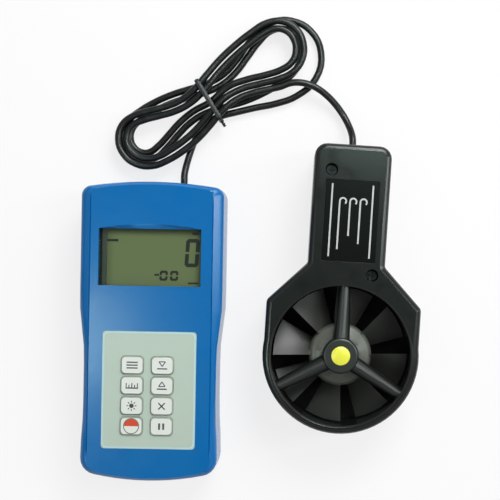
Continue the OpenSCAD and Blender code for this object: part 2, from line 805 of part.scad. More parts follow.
module probe_label() {
    color([0.10, 0.12, 0.13]) on_probe() translate([label_spot.x, label_spot.y, probe_h - label_sink])
        linear_extrude(label_t) round_rect(label_w, label_h, 0.8);
}

module probe_grommet() {
    on_probe() translate([0, handle_top, exit_z]) grommet(sleeve_proud);
}

module arm(root, tip) {
    loft([[for (p = root) [bridge_r - 2.4, p.x, p.y]], [for (p = tip) [duct_r + arm_in, p.x, p.y]]]);
}

function arch(w, z0, z1, z2) = concat([[-w/2, z0], [w/2, z0]],
    [for (t = [0:22.5:180]) [w/2*cos(t), z1 + (z2 - z1)*sin(t)]]);
function bar(w, z0, z1) = [[-w/2, z0], [w/2, z0], [w/2, z1], [-w/2, z1]];

module front_spider() {
    color(charcoal) on_probe() difference() {
        union() {
            rotate_extrude() polygon(concat([[0, bridge_lo], [bridge_r, bridge_lo]],
                [for (t = [0:22.5:90]) [bridge_r - bridge_round*(1 - cos(t)),
                    bridge_lo + bridge_h - bridge_round*(1 - sin(t))]], [[0, bridge_lo + bridge_h]]));
            for (a = arm_angles) rotate(a)
                arm(arch(arm_root, front_arm_lo, bridge_lo + 2, bridge_lo + bridge_h - 0.6),
                    arch(arm_tip, front_arm_lo, bridge_lo + 1.8, front_arm_hi));
        }
        translate([0, 0, bridge_lo - eps]) cylinder(r = bearing_r + seat_gap, h = bearing_h + eps);
        translate([0, 0, bridge_lo + bridge_h - dot_sink]) cylinder(r = dot_r + seat_gap, h = 1);
    }
}

module rear_spider() {
    color(black) on_probe() difference() {
        union() {
            translate([0, 0, rear_lo]) cylinder(r = bridge_r, h = rear_hi - rear_lo);
            for (a = arm_angles) rotate(a)
                arm(bar(arm_root, rear_lo, rear_arm_hi), bar(arm_tip, rear_lo, rear_arm_hi));
        }
        translate([0, 0, rear_hi - bearing_h]) cylinder(r = bearing_r + seat_gap, h = bearing_h + eps);
        span(-2.1, 2.1, sensor_lo - 0.1, bridge_r + eps, rear_arm_hi, rear_hi + eps);
    }
}

// A blind bearing bush, open towards +Z
module bearing() {
    difference() {
        cylinder(r = bearing_r, h = bearing_h);
        translate([0, 0, bearing_floor]) cylinder(r = shaft_r + run_gap, h = bearing_h);
    }
}

module front_bearing() {
    color(gold) on_probe() translate([0, 0, bridge_lo + bearing_h]) mirror([0, 0, 1]) bearing();
}

module rear_bearing() {
    color(gold) on_probe() translate([0, 0, rear_hi - bearing_h]) bearing();
}

module hub_dot() {
    dome = 0.5;
    base = bridge_lo + bridge_h - dot_sink;
    steps = 4;
    rise = [for (i = [0:steps]) let (x = dot_r*(1 - i/steps)) [x, dot_sink + dome*(1 - pow(x/dot_r, 2))]];
    color([0.93, 0.93, 0.25]) on_probe() translate([0, 0, base])
        rotate_extrude() polygon(concat([[0, 0], [dot_r, 0]], rise));
}

// Helical blade: its top edge lies at the angle 0 and it falls away clockwise
hub_dish = 1.5;
blade_hi = hub_lo + hub_h - 1.4;
blade_lo = hub_lo + 2.4;

function blade_point(r, f, down) = let (a = -blade_sweep*f,
    z = blade_hi - (blade_hi - blade_lo)*f - down) [r*cos(a), r*sin(a), z];
function blade_ring(r) = let (n = 4, slope = (blade_hi - blade_lo)/(r*blade_sweep*PI/180),
    down = blade_t*sqrt(1 + slope*slope))
    concat([for (i = [n:-1:0]) blade_point(r, i/n, down)], [for (i = [0:n]) blade_point(r, i/n, 0)]);

module impeller() {
    tip = duct_r - tip_gap;
    root = hub_r - 0.8;
    hub_hi = hub_lo + hub_h;
    color(charcoal) on_probe() rotate(rotor_phase) difference() {
        union() {
            rotate_extrude() polygon(concat([[0, hub_lo], [hub_r, hub_lo]],
                [for (t = [0:15:90]) [hub_r - hub_round*(1 - cos(t)),
                    hub_hi - hub_dish - hub_round*(1 - sin(t))]],
                [[bridge_r, hub_hi], [0, hub_hi]]));
            for (k = [0:blade_count - 1]) rotate(360*k/blade_count)
                loft([for (i = [0:4]) blade_ring(root + (tip - root)*i/4)], strip = true);
        }
        translate([0, 0, hub_lo - eps]) cylinder(r = shaft_r + 0.01, h = hub_h + 2*eps);
        translate([0, 0, hub_lo - eps]) cylinder(r = magnet_r + seat_gap, h = magnet_h + 0.3 + eps);
    }
}

module rotor_shaft() {
    lo = rear_hi - bearing_h + bearing_floor + 0.1;
    hi = bridge_lo + bearing_h - bearing_floor - 0.1;
    color(steel) on_probe() translate([0, 0, lo]) cylinder(r = shaft_r, h = hi - lo);
}

module rotor_magnet() {
    color([0.35, 0.35, 0.36]) on_probe() translate([0, 0, hub_lo + 0.3]) difference() {
        cylinder(r = magnet_r, h = magnet_h);
        translate([0, 0, -eps]) cylinder(r = shaft_r + 0.8, h = magnet_h + 2*eps);
    }
}

module sensor_ribbon() {
    color([0.75, 0.45, 0.15]) on_probe()
        span(-ribbon_w/2, ribbon_w/2, sensor_lo, ribbon_hi, rear_arm_hi, rear_arm_hi + ribbon_t);
}

module hall_sensor() {
    color(black) on_probe() span(-2, 2, sensor_lo, sensor_lo + 3, rear_arm_hi + ribbon_t, rear_hi);
}

module pickup_board() {
    color(green) on_probe() span(-pickup_half, pickup_half, pickup_lo, pickup_hi,
        rear_arm_hi + ribbon_t, rear_arm_hi + ribbon_t + board_t);
}

// Hank: parallel loops wound inwards in the lower layer and outwards in the upper one.
// h counts half loops; a half loop ends at the tie, and the climb is along the run at h = turn_back.
function lobe(a) = cos(a) > 0 ? [hank_far, far_swell, far_bend] : [hank_near, near_swell, 0];
function hank_base(a) = let (c = cos(a), k = lobe(a))
    [k[0]*c, sin(a)*(hank_waist + k[1]*c*c) + k[2]*c*c];
function hank_slope(a) = let (c = cos(a), s = sin(a), k = lobe(a))
    [-k[0]*s, c*(hank_waist + k[1]*c*c) - 2*k[1]*s*s*c - 2*k[2]*s*c];
function hank_inset(h) = let (t = min(1, abs(h - loose_spot)/loose_reach))
    hank_step/2*(turn_back - abs(h - turn_back)) - loose*pow(1 - t*t, 2);
function hank_flat(h) = let (a = 180*h - 90, s = unit(hank_slope(a))) hank_base(a) + hank_inset(h)*[-s.y, s.x];
function spun(p, a) = [p.x*cos(a) - p.y*sin(a), p.x*sin(a) + p.y*cos(a)];
function hank_point(h) = let (p = hank_flat(h), up = ramp((h - turn_back)/climb + 0.5),
    twist = (twist_low + (twist_high - twist_low)*up)*exp(-pow(p.x/twist_reach, 2)),
    q = hank_spot + spun(p, hank_turn + twist))
    [q.x, q.y, hank_z + hank_layer*up + hank_hump*exp(-pow(p.x/hump_reach, 2))];
hank_rings = round((hank_end - hank_start)*loop_rings/2);
hank_core = [for (i = [0:hank_rings]) hank_point(hank_start + (hank_end - hank_start)*i/hank_rings)];
hank_in_way = unit(hank_core[1] - hank_core[0]);
hank_out_way = unit(hank_core[hank_rings] - hank_core[hank_rings - 1]);
hank_in = hank_core[0] - cord_d*hank_in_way;
hank_out = hank_core[hank_rings] + cord_d*hank_out_way;
hank_path = concat([hank_in], hank_core, [hank_out]);

meter_exit = [exit_x, top_y + sleeve_proud, exit_z];
probe_exit_flat = [probe_x, probe_y] + spun([0, handle_top + sleeve_proud], -probe_lean);
probe_exit = [probe_exit_flat.x, probe_exit_flat.y, exit_z];
probe_way = [sin(probe_lean), cos(probe_lean), 0];
straight = 0.6*cord_d;
meter_lead_path = concat([meter_exit, meter_exit + [0, straight, 0]], meter_route,
    [hank_in - straight*hank_in_way, hank_in]);
probe_lead_path = concat([hank_out, hank_out + straight*hank_out_way], probe_route,
    [probe_exit + straight*probe_way, probe_exit]);

// Measures: the length of a path, and the least gap between tubes along points of its chords
function path_length(p, i = 1) = i >= len(p) ? 0 : norm(p[i] - p[i - 1]) + path_length(p, i + 1);
function chord_points(p, n) = [for (i = [0:len(p) - 2], k = [0:n - 1]) p[i] + (p[i + 1] - p[i])*k/n];
function least_gap(p, skip) = let (last = len(p) - 1)
    min([for (i = [0:last - skip], j = [i + skip:last]) norm(p[i] - p[j])]) - cord_d;

module cord_hank() {
    echo(hank_least_gap = least_gap(chord_points(hank_path, 6), 36));
    echo(cord_length = path_length(meter_lead_path) + path_length(hank_path) + path_length(probe_lead_path));
    color(black) tube(hank_path, cord_d/2, 6);
}

module cord_meter_lead() {
    color(black) tube(meter_lead_path, cord_d/2, 8);
}

module cord_probe_lead() {
    color(black) tube(probe_lead_path, cord_d/2, 8);
}

// Tie: a flat band round the hank's waist, with its twisted ends at the lower side
module cord_tie() {
    band = 2.2;
    band_t = 0.8;
    room = 0.6;
    twist_l = 3.4;
    lo = -hank_waist/cos(twist_high) - cord_d/2 - room;
    hi = (hank_waist - hank_step/2)/cos(twist_high) + cord_d/2 + room;
    top = hank_z + hank_layer + hank_hump + cord_d/2 + room;
    floor_gap = 0.05;
    wide = hi - lo;
    tall = top - floor_gap - band_t;
    color(black) translate([hank_spot.x, hank_spot.y, 0]) rotate(hank_turn)
        translate([-band/2, (lo + hi)/2, floor_gap + band_t + tall/2]) rotate([90, 0, 90]) {
            linear_extrude(band) difference() {
                round_rect(wide + 2*band_t, tall + 2*band_t, 2);
                round_rect(wide, tall, 1.2);
            }
            translate([-wide/2 - band_t - twist_l, 0, band/2]) rotate([0, 90, 0])
                cylinder(r1 = 0.7, r2 = 1, h = twist_l + 0.2);
        }
}

front_shell();
rear_shell();
case_screws();
display_window();
lcd_panel();
lcd_frame();
backlight_plate();
connector_strips();
main_board();
board_screws();
board_chips();
switch_housings();
keypad_overlay();
cord_header();
meter_grommet();
battery_cover();
battery_cells();
battery_contacts();
battery_springs();
probe_front_shell();
probe_rear_shell();
probe_screws();
probe_label();
probe_grommet();
front_spider();
rear_spider();
front_bearing();
rear_bearing();
hub_dot();
impeller();
rotor_shaft();
rotor_magnet();
hall_sensor();
sensor_ribbon();
pickup_board();
cord_meter_lead();
cord_hank();
cord_probe_lead();
cord_tie();
for (k = [0:7]) key(k);
for (k = [0:7]) plunger(k);
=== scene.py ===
"""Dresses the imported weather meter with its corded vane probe, and sets the photo's camera and light."""

import logging
import math
from dataclasses import dataclass
from enum import Enum
from typing import Iterable, Sequence, Union

import bmesh
import bpy
from mathutils import Matrix, Vector


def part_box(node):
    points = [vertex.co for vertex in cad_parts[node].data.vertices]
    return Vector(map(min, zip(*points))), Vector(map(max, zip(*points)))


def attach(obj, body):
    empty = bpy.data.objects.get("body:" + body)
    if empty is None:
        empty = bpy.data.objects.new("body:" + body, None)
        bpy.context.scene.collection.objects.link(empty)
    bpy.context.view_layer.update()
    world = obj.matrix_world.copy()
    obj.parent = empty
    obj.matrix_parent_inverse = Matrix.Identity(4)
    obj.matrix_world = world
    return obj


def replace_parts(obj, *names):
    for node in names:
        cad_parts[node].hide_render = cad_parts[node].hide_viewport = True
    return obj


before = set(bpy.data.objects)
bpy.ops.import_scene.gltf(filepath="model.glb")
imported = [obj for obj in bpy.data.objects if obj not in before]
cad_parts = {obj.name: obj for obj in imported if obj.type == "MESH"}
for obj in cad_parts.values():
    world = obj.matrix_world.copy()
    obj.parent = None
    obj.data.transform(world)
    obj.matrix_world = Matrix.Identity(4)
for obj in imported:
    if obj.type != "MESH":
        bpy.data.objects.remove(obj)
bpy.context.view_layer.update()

LOG = logging.getLogger("scene")
MM = 0.001
BLACK = (0.0, 0.0, 0.0, 1.0)

# In millimetres, like every length that isn't said to be in metres.
INK_THICKNESS = 0.02
DUCT_AXIS = (88.8, -10.0)

Colour = tuple[float, float, float, float]
Flat = tuple[float, float]
Loop = list[Flat]
Value = Union["Socket", float]


def srgb(red: int, green: int, blue: int) -> Colour:
    """Linear colour of three display values.

    Args:
        red: red from 0 to 255.
        green: green from 0 to 255.
        blue: blue from 0 to 255.

    Returns:
        The colour, opaque.
    """
    shares = (red / 255, green / 255, blue / 255)
    linear = [s / 12.92 if s <= 0.04045 else ((s + 0.055) / 1.055) ** 2.4 for s in shares]
    return (linear[0], linear[1], linear[2], 1.0)


def scaled(colour: Colour, share: float) -> Colour:
    """The colour with its three parts times share."""
    return (colour[0] * share, colour[1] * share, colour[2] * share, 1.0)


class Body(str, Enum):
    """The frame's bodies that pieces ride on, beside the eight buttons."""

    ROOT = "meter_and_probe"
    ROTOR = "rotor"
    COVER = "cover"


class Key(Enum):
    """The keys, first those of the left column and then those of the right."""

    FUNCTION = "function"
    UNIT = "unit"
    LIGHT = "light"
    POWER = "power"
    DOWN = "down"
    UP = "up"
    CLEAR = "clear"
    HOLD = "hold"

    @property
    def node(self) -> str:
        """Name of the key's CAD node."""
        return f"{self.value}_key"

    @property
    def plunger(self) -> str:
        """Name of the CAD node of the plunger under the key."""
        return f"{self.value}_plunger"

    @property
    def body(self) -> str:
        """Name of the body that the key rides on."""
        return f"{self.value}_button"


class Socket:
    """One output of a shader node, with Python's operators over it."""

    def __init__(self, graph: "Graph", plug: bpy.types.NodeSocket) -> None:
        """Keeps the graph and the node's output."""
        self.graph = graph
        self.plug = plug

    def maths(self, operation: str, *terms: Value) -> "Socket":
        """A Math node over the terms."""
        return self.graph.node("ShaderNodeMath", {"operation": operation}, dict(enumerate(terms)))

    def __add__(self, other: Value) -> "Socket":
        """Sum."""
        return self.maths("ADD", self, other)

    __radd__ = __add__

    def __sub__(self, other: Value) -> "Socket":
        """Difference."""
        return self.maths("SUBTRACT", self, other)

    def __rsub__(self, other: Value) -> "Socket":
        """Difference from a plain number."""
        return self.maths("SUBTRACT", other, self)

    def __mul__(self, other: Value) -> "Socket":
        """Product."""
        return self.maths("MULTIPLY", self, other)

    __rmul__ = __mul__

    def __truediv__(self, other: Value) -> "Socket":
        """Quotient."""
        return self.maths("DIVIDE", self, other)

    def __abs__(self) -> "Socket":
        """Size without its sign."""
        return self.maths("ABSOLUTE", self)

    def __gt__(self, other: Value) -> "Socket":
        """One where this is greater, else nought."""
        return self.maths("GREATER_THAN", self, other)

    def ramp(self, start: float, stop: float) -> "Socket":
        """A smooth and clamped rise from nought to one.

        Args:
            start: the value that gives nought.
            stop: the value that gives one.

        Returns:
            The share.
        """
        return self.graph.node(
            "ShaderNodeMapRange",
            {"interpolation_type": "SMOOTHSTEP"},
            {"Value": self, "From Min": start, "From Max": stop},
        )


class Graph:
    """A node tree that is built by calls which return sockets."""

    def __init__(self, tree: bpy.types.NodeTree) -> None:
        """Keeps the tree."""
        self.tree = tree

    def put(self, plug: bpy.types.NodeSocket, value: object) -> None:
        """Links a socket to an input, or sets the input to a plain value.

        Args:
            plug: the input.
            value: the socket or the value.
        """
        if isinstance(value, Socket):
            self.tree.links.new(value.plug, plug)
        else:
            plug.default_value = value

    def node(
        self,
        kind: str,
        settings: dict[str, object] | None = None,
        inputs: dict[str | int, object] | None = None,
        output: str | int = 0,
    ) -> Socket:
        """Makes one node.

        Args:
            kind: the node's Blender type.
            settings: the node's own properties, set before its sockets.
            inputs: values or sockets for its inputs, by name or number.
            output: which output to return.

        Returns:
            The chosen output.
        """
        made = self.tree.nodes.new(kind)
        for key, value in (settings or {}).items():
            setattr(made, key, value)
        for key, value in (inputs or {}).items():
            self.put(made.inputs[key], value)
        return Socket(self, made.outputs[output])

    def find(self, kind: str) -> bpy.types.Node:
        """The tree's first node of that type."""
        return next(n for n in self.tree.nodes if n.type == kind)

    def surface(self, **inputs: object) -> None:
        """Sets inputs of the Principled shader.

        Args:
            inputs: values or sockets by name, with an underscore for a space.
        """
        shader = self.find("BSDF_PRINCIPLED")
        for key, value in inputs.items():
            self.put(shader.inputs[key.replace("_", " ")], value)

    def place(self) -> Socket:
        """Place on the piece, in metres of the shared frame at rest."""
        return self.node("ShaderNodeTexCoord", output="Object")

    def axis(self, name: str) -> Socket:
        """One coordinate of the place, in millimetres."""
        split = self.node("ShaderNodeSeparateXYZ", None, {0: self.place()}, output=name)
        return split / MM

    def noise(self, size: float, detail: float = 3.0, stretch: Sequence[float] = (1, 1, 1)) -> Socket:
        """Noise between nought and one.

        Args:
            size: length of its largest features, in millimetres.
            detail: octaves of finer features.
            stretch: how much longer the features are along each axis.

        Returns:
            The noise value.
        """
        spread = tuple(1 / (size * MM * s) for s in stretch)
        where = self.node("ShaderNodeVectorMath", {"operation": "MULTIPLY"}, {0: self.place(), 1: spread})
        return self.node("ShaderNodeTexNoise", None, {"Vector": where, "Scale": 1.0, "Detail": detail})

    def cells(self, size: float, feature: str = "F1") -> Socket:
        """Distance in a pattern of cells of that size, in millimetres."""
        inputs = {"Vector": self.place(), "Scale": 1 / (size * MM)}
        return self.node("ShaderNodeTexVoronoi", {"feature": feature}, inputs)

    def mix(self, share: Value, low: object, high: object) -> Socket:
        """Colour between two colours."""
        return self.node("ShaderNodeMix", {"data_type": "RGBA"}, {0: share, 6: low, 7: high}, output=2)

    def bump(self, height: Socket, depth: float) -> Socket:
        """Normal of a height whose full range is that depth, in millimetres."""
        return self.node("ShaderNodeBump", None, {"Strength": 1.0, "Distance": depth * MM, "Height": height})


@dataclass(frozen=True)
class Finish:
    """A material in plain terms.

    Attributes:
        name: the material's name.
        colour: its main colour.
        rough: its mean roughness.
    """

    name: str
    colour: Colour
    rough: float = 0.5

    def material(self) -> bpy.types.Material:
        """The material, made at its first use.

        Returns:
            The material.
        """
        made = bpy.data.materials.get(self.name)
        if made is None:
            made = bpy.data.materials.new(self.name)
            made.use_nodes = True
            self.paint(Graph(made.node_tree))
        return made

    def paint(self, graph: Graph) -> None:
        """Fills the material's node tree."""
        raise NotImplementedError

    def between(self, graph: Graph, share: Value, low: float, high: float = 1.0) -> Socket:
        """The colour between two shares of itself."""
        return graph.mix(share, scaled(self.colour, low), scaled(self.colour, high))


@dataclass(frozen=True)
class Moulded(Finish):
    """Moulded plastic with a spark-eroded grain, flow shades and a little handling polish.

    Attributes:
        grain: distance between the bumps of the grain, in millimetres.
        depth: height of the grain, in millimetres.
        mottle: share by which its shades differ.
        specular: level of its gloss.
        flow: length of its flow shades, in millimetres.
        polish: size of its polished spots, in millimetres.
    """

    grain: float = 0.5
    depth: float = 0.02
    mottle: float = 0.10
    specular: float = 0.5
    flow: float = 28.0
    polish: float = 9.0

    def paint(self, graph: Graph) -> None:
        """Mixes two shades, and roughens and bumps by the grain.

        Args:
            graph: the material's node tree.
        """
        broad = graph.noise(self.flow, 2)
        fine = graph.noise(self.grain, 2)
        worn = graph.noise(self.polish, 4).ramp(0.48, 0.72)
        graph.surface(
            Base_Color=self.shade(graph, broad * 0.7 + fine * 0.3),
            Roughness=self.rough + 0.10 * (fine - 0.5) - 0.03 * worn,
            Specular_IOR_Level=self.specular,
            Normal=graph.bump(fine, self.depth),
        )

    def shade(self, graph: Graph, share: Socket) -> Socket:
        """The colour between its darker and its paler shade."""
        return self.between(graph, share, 1 - self.mottle, 1 + self.mottle)


@dataclass(frozen=True)
class HighlitHubPlastic(Moulded):
    """Moulded plastic of a wheel whose hub is painted paler, a painted highlight on the hub.

    Attributes:
        axis: place of the wheel's upright axis, in millimetres.
        hub: radius of the hub, in millimetres.
        fade: width of the change of colour at its edge, in millimetres.
        pale: colour of the hub's painted highlight.
    """

    axis: Flat = (0.0, 0.0)
    hub: float = 10.0
    fade: float = 0.5
    pale: Colour = (0.1, 0.1, 0.1, 1.0)

    def shade(self, graph: Graph, share: Socket) -> Socket:
        """The moulding's colour, or the hub's painted highlight within its radius.

        Args:
            graph: the material's node tree.
            share: share of the moulding's paler shade.

        Returns:
            The colour.
        """
        x, y = graph.axis("X") - self.axis[0], graph.axis("Y") - self.axis[1]
        blades = (x * x + y * y).ramp(self.hub**2, (self.hub + self.fade) ** 2)
        return graph.mix(blades, self.pale, super().shade(graph, share))


@dataclass(frozen=True)
class Film(Finish):
    """Printed plastic film with a fine matt tooth and faint dust.

    Attributes:
        tooth: distance between the bumps of its surface, in millimetres.
        coat: weight of its clear layer.
        specular: level of its gloss.
        depth: height of the bumps, in millimetres.
        cloud: size of its uneven shades, in millimetres.
        dust: distance between the specks of dust, in millimetres.
    """

    tooth: float = 0.16
    coat: float = 0.15
    specular: float = 0.5
    depth: float = 0.006
    cloud: float = 14.0
    dust: float = 1.7

    def paint(self, graph: Graph) -> None:
        """Prints the colour with a slight unevenness and a rough tooth.

        Args:
            graph: the material's node tree.
        """
        tooth = graph.noise(self.tooth, 2)
        cloud = graph.noise(self.cloud, 3)
        clean = graph.cells(self.dust) > 0.08
        shade = self.between(graph, cloud, 0.965, 1.03)
        graph.surface(
            Base_Color=graph.mix(clean, scaled(self.colour, 0.93), shade),
            Roughness=self.rough + 0.12 * (tooth - 0.5),
            Specular_IOR_Level=self.specular,
            Coat_Weight=self.coat + 0.1 * (cloud - 0.5),
            Coat_Roughness=0.25,
            Normal=graph.bump(tooth, self.depth),
        )


@dataclass(frozen=True)
class Ink(Finish):
    """Thin printed ink that is a little uneven.

    Attributes:
        cloud: size of its uneven shades, in millimetres.
    """

    cloud: float = 0.6

    def paint(self, graph: Graph) -> None:
        """Prints the colour with soft shades.

        Args:
            graph: the material's node tree.
        """
        cloud = graph.noise(self.cloud, 3)
        graph.surface(
            Base_Color=self.between(graph, cloud, 0.9, 1.1),
            Roughness=self.rough + 0.15 * (cloud - 0.5),
            Specular_IOR_Level=0.2,
        )


@dataclass(frozen=True)
class Rubber(Finish):
    """Flexible jacket with a soft sheen, faint scuffs and fine pores.

    Attributes:
        scuff: size of its scuffs, in millimetres.
        pore: distance between its pores, in millimetres.
        depth: their depth, in millimetres.
    """

    scuff: float = 5.0
    pore: float = 0.25
    depth: float = 0.012

    def paint(self, graph: Graph) -> None:
        """Mixes clean and scuffed jacket.

        Args:
            graph: the material's node tree.
        """
        scuff = graph.noise(self.scuff, 5).ramp(0.5, 0.75)
        pores = graph.noise(self.pore, 2)
        graph.surface(
            Base_Color=self.between(graph, scuff * 0.6, 1.0, 1.5),
            Roughness=self.rough + 0.14 * scuff + 0.08 * (pores - 0.5),
            Specular_IOR_Level=0.35,
            Normal=graph.bump(pores, self.depth),
        )


@dataclass(frozen=True)
class Metal(Finish):
    """Plated or bare metal with drawn lines and dull spots.

    Attributes:
        lines: length of the lines along each axis, as a stretch.
        line: distance between them, in millimetres.
        depth: their depth, in millimetres.
        spot: size of the dull spots, in millimetres.
    """

    lines: tuple[float, float, float] = (1, 1, 6)
    line: float = 0.3
    depth: float = 0.006
    spot: float = 2.2

    def paint(self, graph: Graph) -> None:
        """Lines the metal and dulls it in spots.

        Args:
            graph: the material's node tree.
        """
        drawn = graph.noise(self.line, 3, self.lines)
        dull = graph.noise(self.spot, 4).ramp(0.45, 0.7)
        graph.surface(
            Base_Color=self.between(graph, dull, 1.0, 0.72),
            Metallic=1.0 - 0.15 * dull,
            Roughness=self.rough + 0.16 * (drawn - 0.5) + 0.12 * dull,
            Normal=graph.bump(drawn, self.depth),
        )


@dataclass(frozen=True)
class Sintered(Finish):
    """Pressed powder metal or ferrite with open pores.

    Attributes:
        metallic: share of the surface that is bare metal.
        pore: distance between its pores, in millimetres.
        depth: their depth, in millimetres.
    """

    metallic: float = 0.5
    pore: float = 0.35
    depth: float = 0.02

    def paint(self, graph: Graph) -> None:
        """Darkens and pits the pores.

        Args:
            graph: the material's node tree.
        """
        solid = graph.cells(self.pore).ramp(0.05, 0.45)
        graph.surface(
            Base_Color=self.between(graph, solid, 0.5),
            Metallic=self.metallic * solid,
            Roughness=self.rough + 0.2 * (1 - solid),
            Normal=graph.bump(solid, self.depth),
        )


@dataclass(frozen=True)
class LcdGlass(Finish):
    """Reflective liquid crystal cell, with painted shadow of the window's walls towards its upper edge and
    its left side.

    Attributes:
        left: left edge of the lit field, in millimetres.
        top: upper edge of the lit field, in millimetres.
        side: distances from the left edge over which its painted shadow fades, in millimetres.
        head: distances from the upper edge over which its painted shadow fades, in millimetres.
        glow: size of its broad shades, in millimetres.
        grain: size of the reflector's grain, in millimetres.
    """

    left: float = 0.0
    top: float = 0.0
    side: Flat = (0.0, 4.0)
    head: Flat = (0.6, 4.5)
    glow: float = 26.0
    grain: float = 0.22

    def paint(self, graph: Graph) -> None:
        """Paints shadow on the cell from its upper and left edges and grains its reflector.

        Args:
            graph: the material's node tree.
        """
        # Painted shadow of the window's left and upper walls: darker near those edges.
        across = (graph.axis("X") - self.left).ramp(*self.side)
        down = (self.top - graph.axis("Y")).ramp(*self.head)
        glow = graph.noise(self.glow, 1)
        grain = graph.noise(self.grain, 1)
        level = (0.25 + 0.75 * down) * (0.55 + 0.45 * across) + 0.16 * (glow - 0.5) + 0.05 * (grain - 0.5)
        graph.surface(
            Base_Color=self.between(graph, level, 0.4),
            Roughness=self.rough + 0.1 * (grain - 0.5),
            Specular_IOR_Level=0.08,
        )


@dataclass(frozen=True)
class Clear(Finish):
    """Clear acrylic that shows what lies behind it.

    Attributes:
        body: share of the light that the plate itself returns.
        smear: width of its smears, in millimetres.
        streak: their length along each axis, as a stretch.
    """

    body: float = 0.006
    smear: float = 11.0
    streak: tuple[float, float, float] = (1, 3, 1)

    def paint(self, graph: Graph) -> None:
        """Lets light through but for faint smears.

        Args:
            graph: the material's node tree.
        """
        smear = graph.noise(self.smear, 4, self.streak).ramp(0.45, 0.8)
        graph.surface(
            Base_Color=self.between(graph, smear, 1.0, 1.1),
            Roughness=self.rough + 0.1 * smear,
            Alpha=self.body + 0.006 * smear,
        )


@dataclass(frozen=True)
class Board(Finish):
    """Green solder mask over copper runs, with tinned spots.

    Attributes:
        net: distance between the runs, in millimetres.
        spot: distance between the spots, in millimetres.
        depth: height of both, in millimetres.
        tin: colour of the spots.
    """

    net: float = 4.2
    spot: float = 2.3
    depth: float = 0.03
    tin: Colour = srgb(205, 205, 198)

    def paint(self, graph: Graph) -> None:
        """Draws runs and spots from two grids of cells.

        Args:
            graph: the material's node tree.
        """
        runs = graph.cells(self.net, "DISTANCE_TO_EDGE").ramp(0.09, 0.05)
        spots = graph.cells(self.spot).ramp(0.16, 0.12)
        mask = self.between(graph, runs, 1.0, 1.7)
        graph.surface(
            Base_Color=graph.mix(spots, mask, self.tin),
            Metallic=spots * 0.9,
            Roughness=self.rough - 0.08 * spots,
            Normal=graph.bump(runs + spots, self.depth),
        )


@dataclass(frozen=True)
class CellSleeve(Finish):
    """Printed sleeve of a dry cell, with a coloured ring.

    Attributes:
        ring: place of the ring along Y, in millimetres.
        band: the ring's colour.
        half: half the ring's width to its faded and to its full colour, in millimetres.
        scratch: width of its scratches, in millimetres.
        streak: their length along each axis, as a stretch.
        bare: colour of the can in them.
    """

    ring: float = 0.0
    band: Colour = (0.6, 0.3, 0.05, 1.0)
    half: Flat = (9.2, 9.0)
    scratch: float = 1.2
    streak: tuple[float, float, float] = (1, 5, 1)
    bare: Colour = srgb(120, 122, 124)

    def paint(self, graph: Graph) -> None:
        """Prints the ring over the sleeve.

        Args:
            graph: the material's node tree.
        """
        near = abs(graph.axis("Y") - self.ring).ramp(*self.half)
        scratch = graph.noise(self.scratch, 4, self.streak).ramp(0.5, 0.7)
        sleeve = graph.mix(near, self.colour, self.band)
        graph.surface(
            Base_Color=graph.mix(scratch * 0.5, sleeve, self.bare),
            Metallic=0.35 + 0.3 * near,
            Roughness=self.rough + 0.2 * scratch,
        )


@dataclass(frozen=True)
class Striped(Finish):
    """Elastomer with conducting layers, or a flat circuit with its runs.

    Attributes:
        pitch: distance between two layers, in millimetres.
        stripe: colour of the layers.
        cloud: size of its uneven gloss, in millimetres.
    """

    pitch: float = 0.5
    stripe: Colour = (0.05, 0.05, 0.05, 1.0)
    cloud: float = 1.5

    def paint(self, graph: Graph) -> None:
        """Stripes the piece along X.

        Args:
            graph: the material's node tree.
        """
        wave = graph.node("ShaderNodeMath", {"operation": "PINGPONG"}, {0: graph.axis("X"), 1: self.pitch})
        layer = wave.ramp(self.pitch * 0.55, self.pitch * 0.65)
        cloud = graph.noise(self.cloud, 3)
        graph.surface(
            Base_Color=graph.mix(layer, self.colour, self.stripe),
            Roughness=self.rough + 0.1 * (cloud - 0.5),
        )


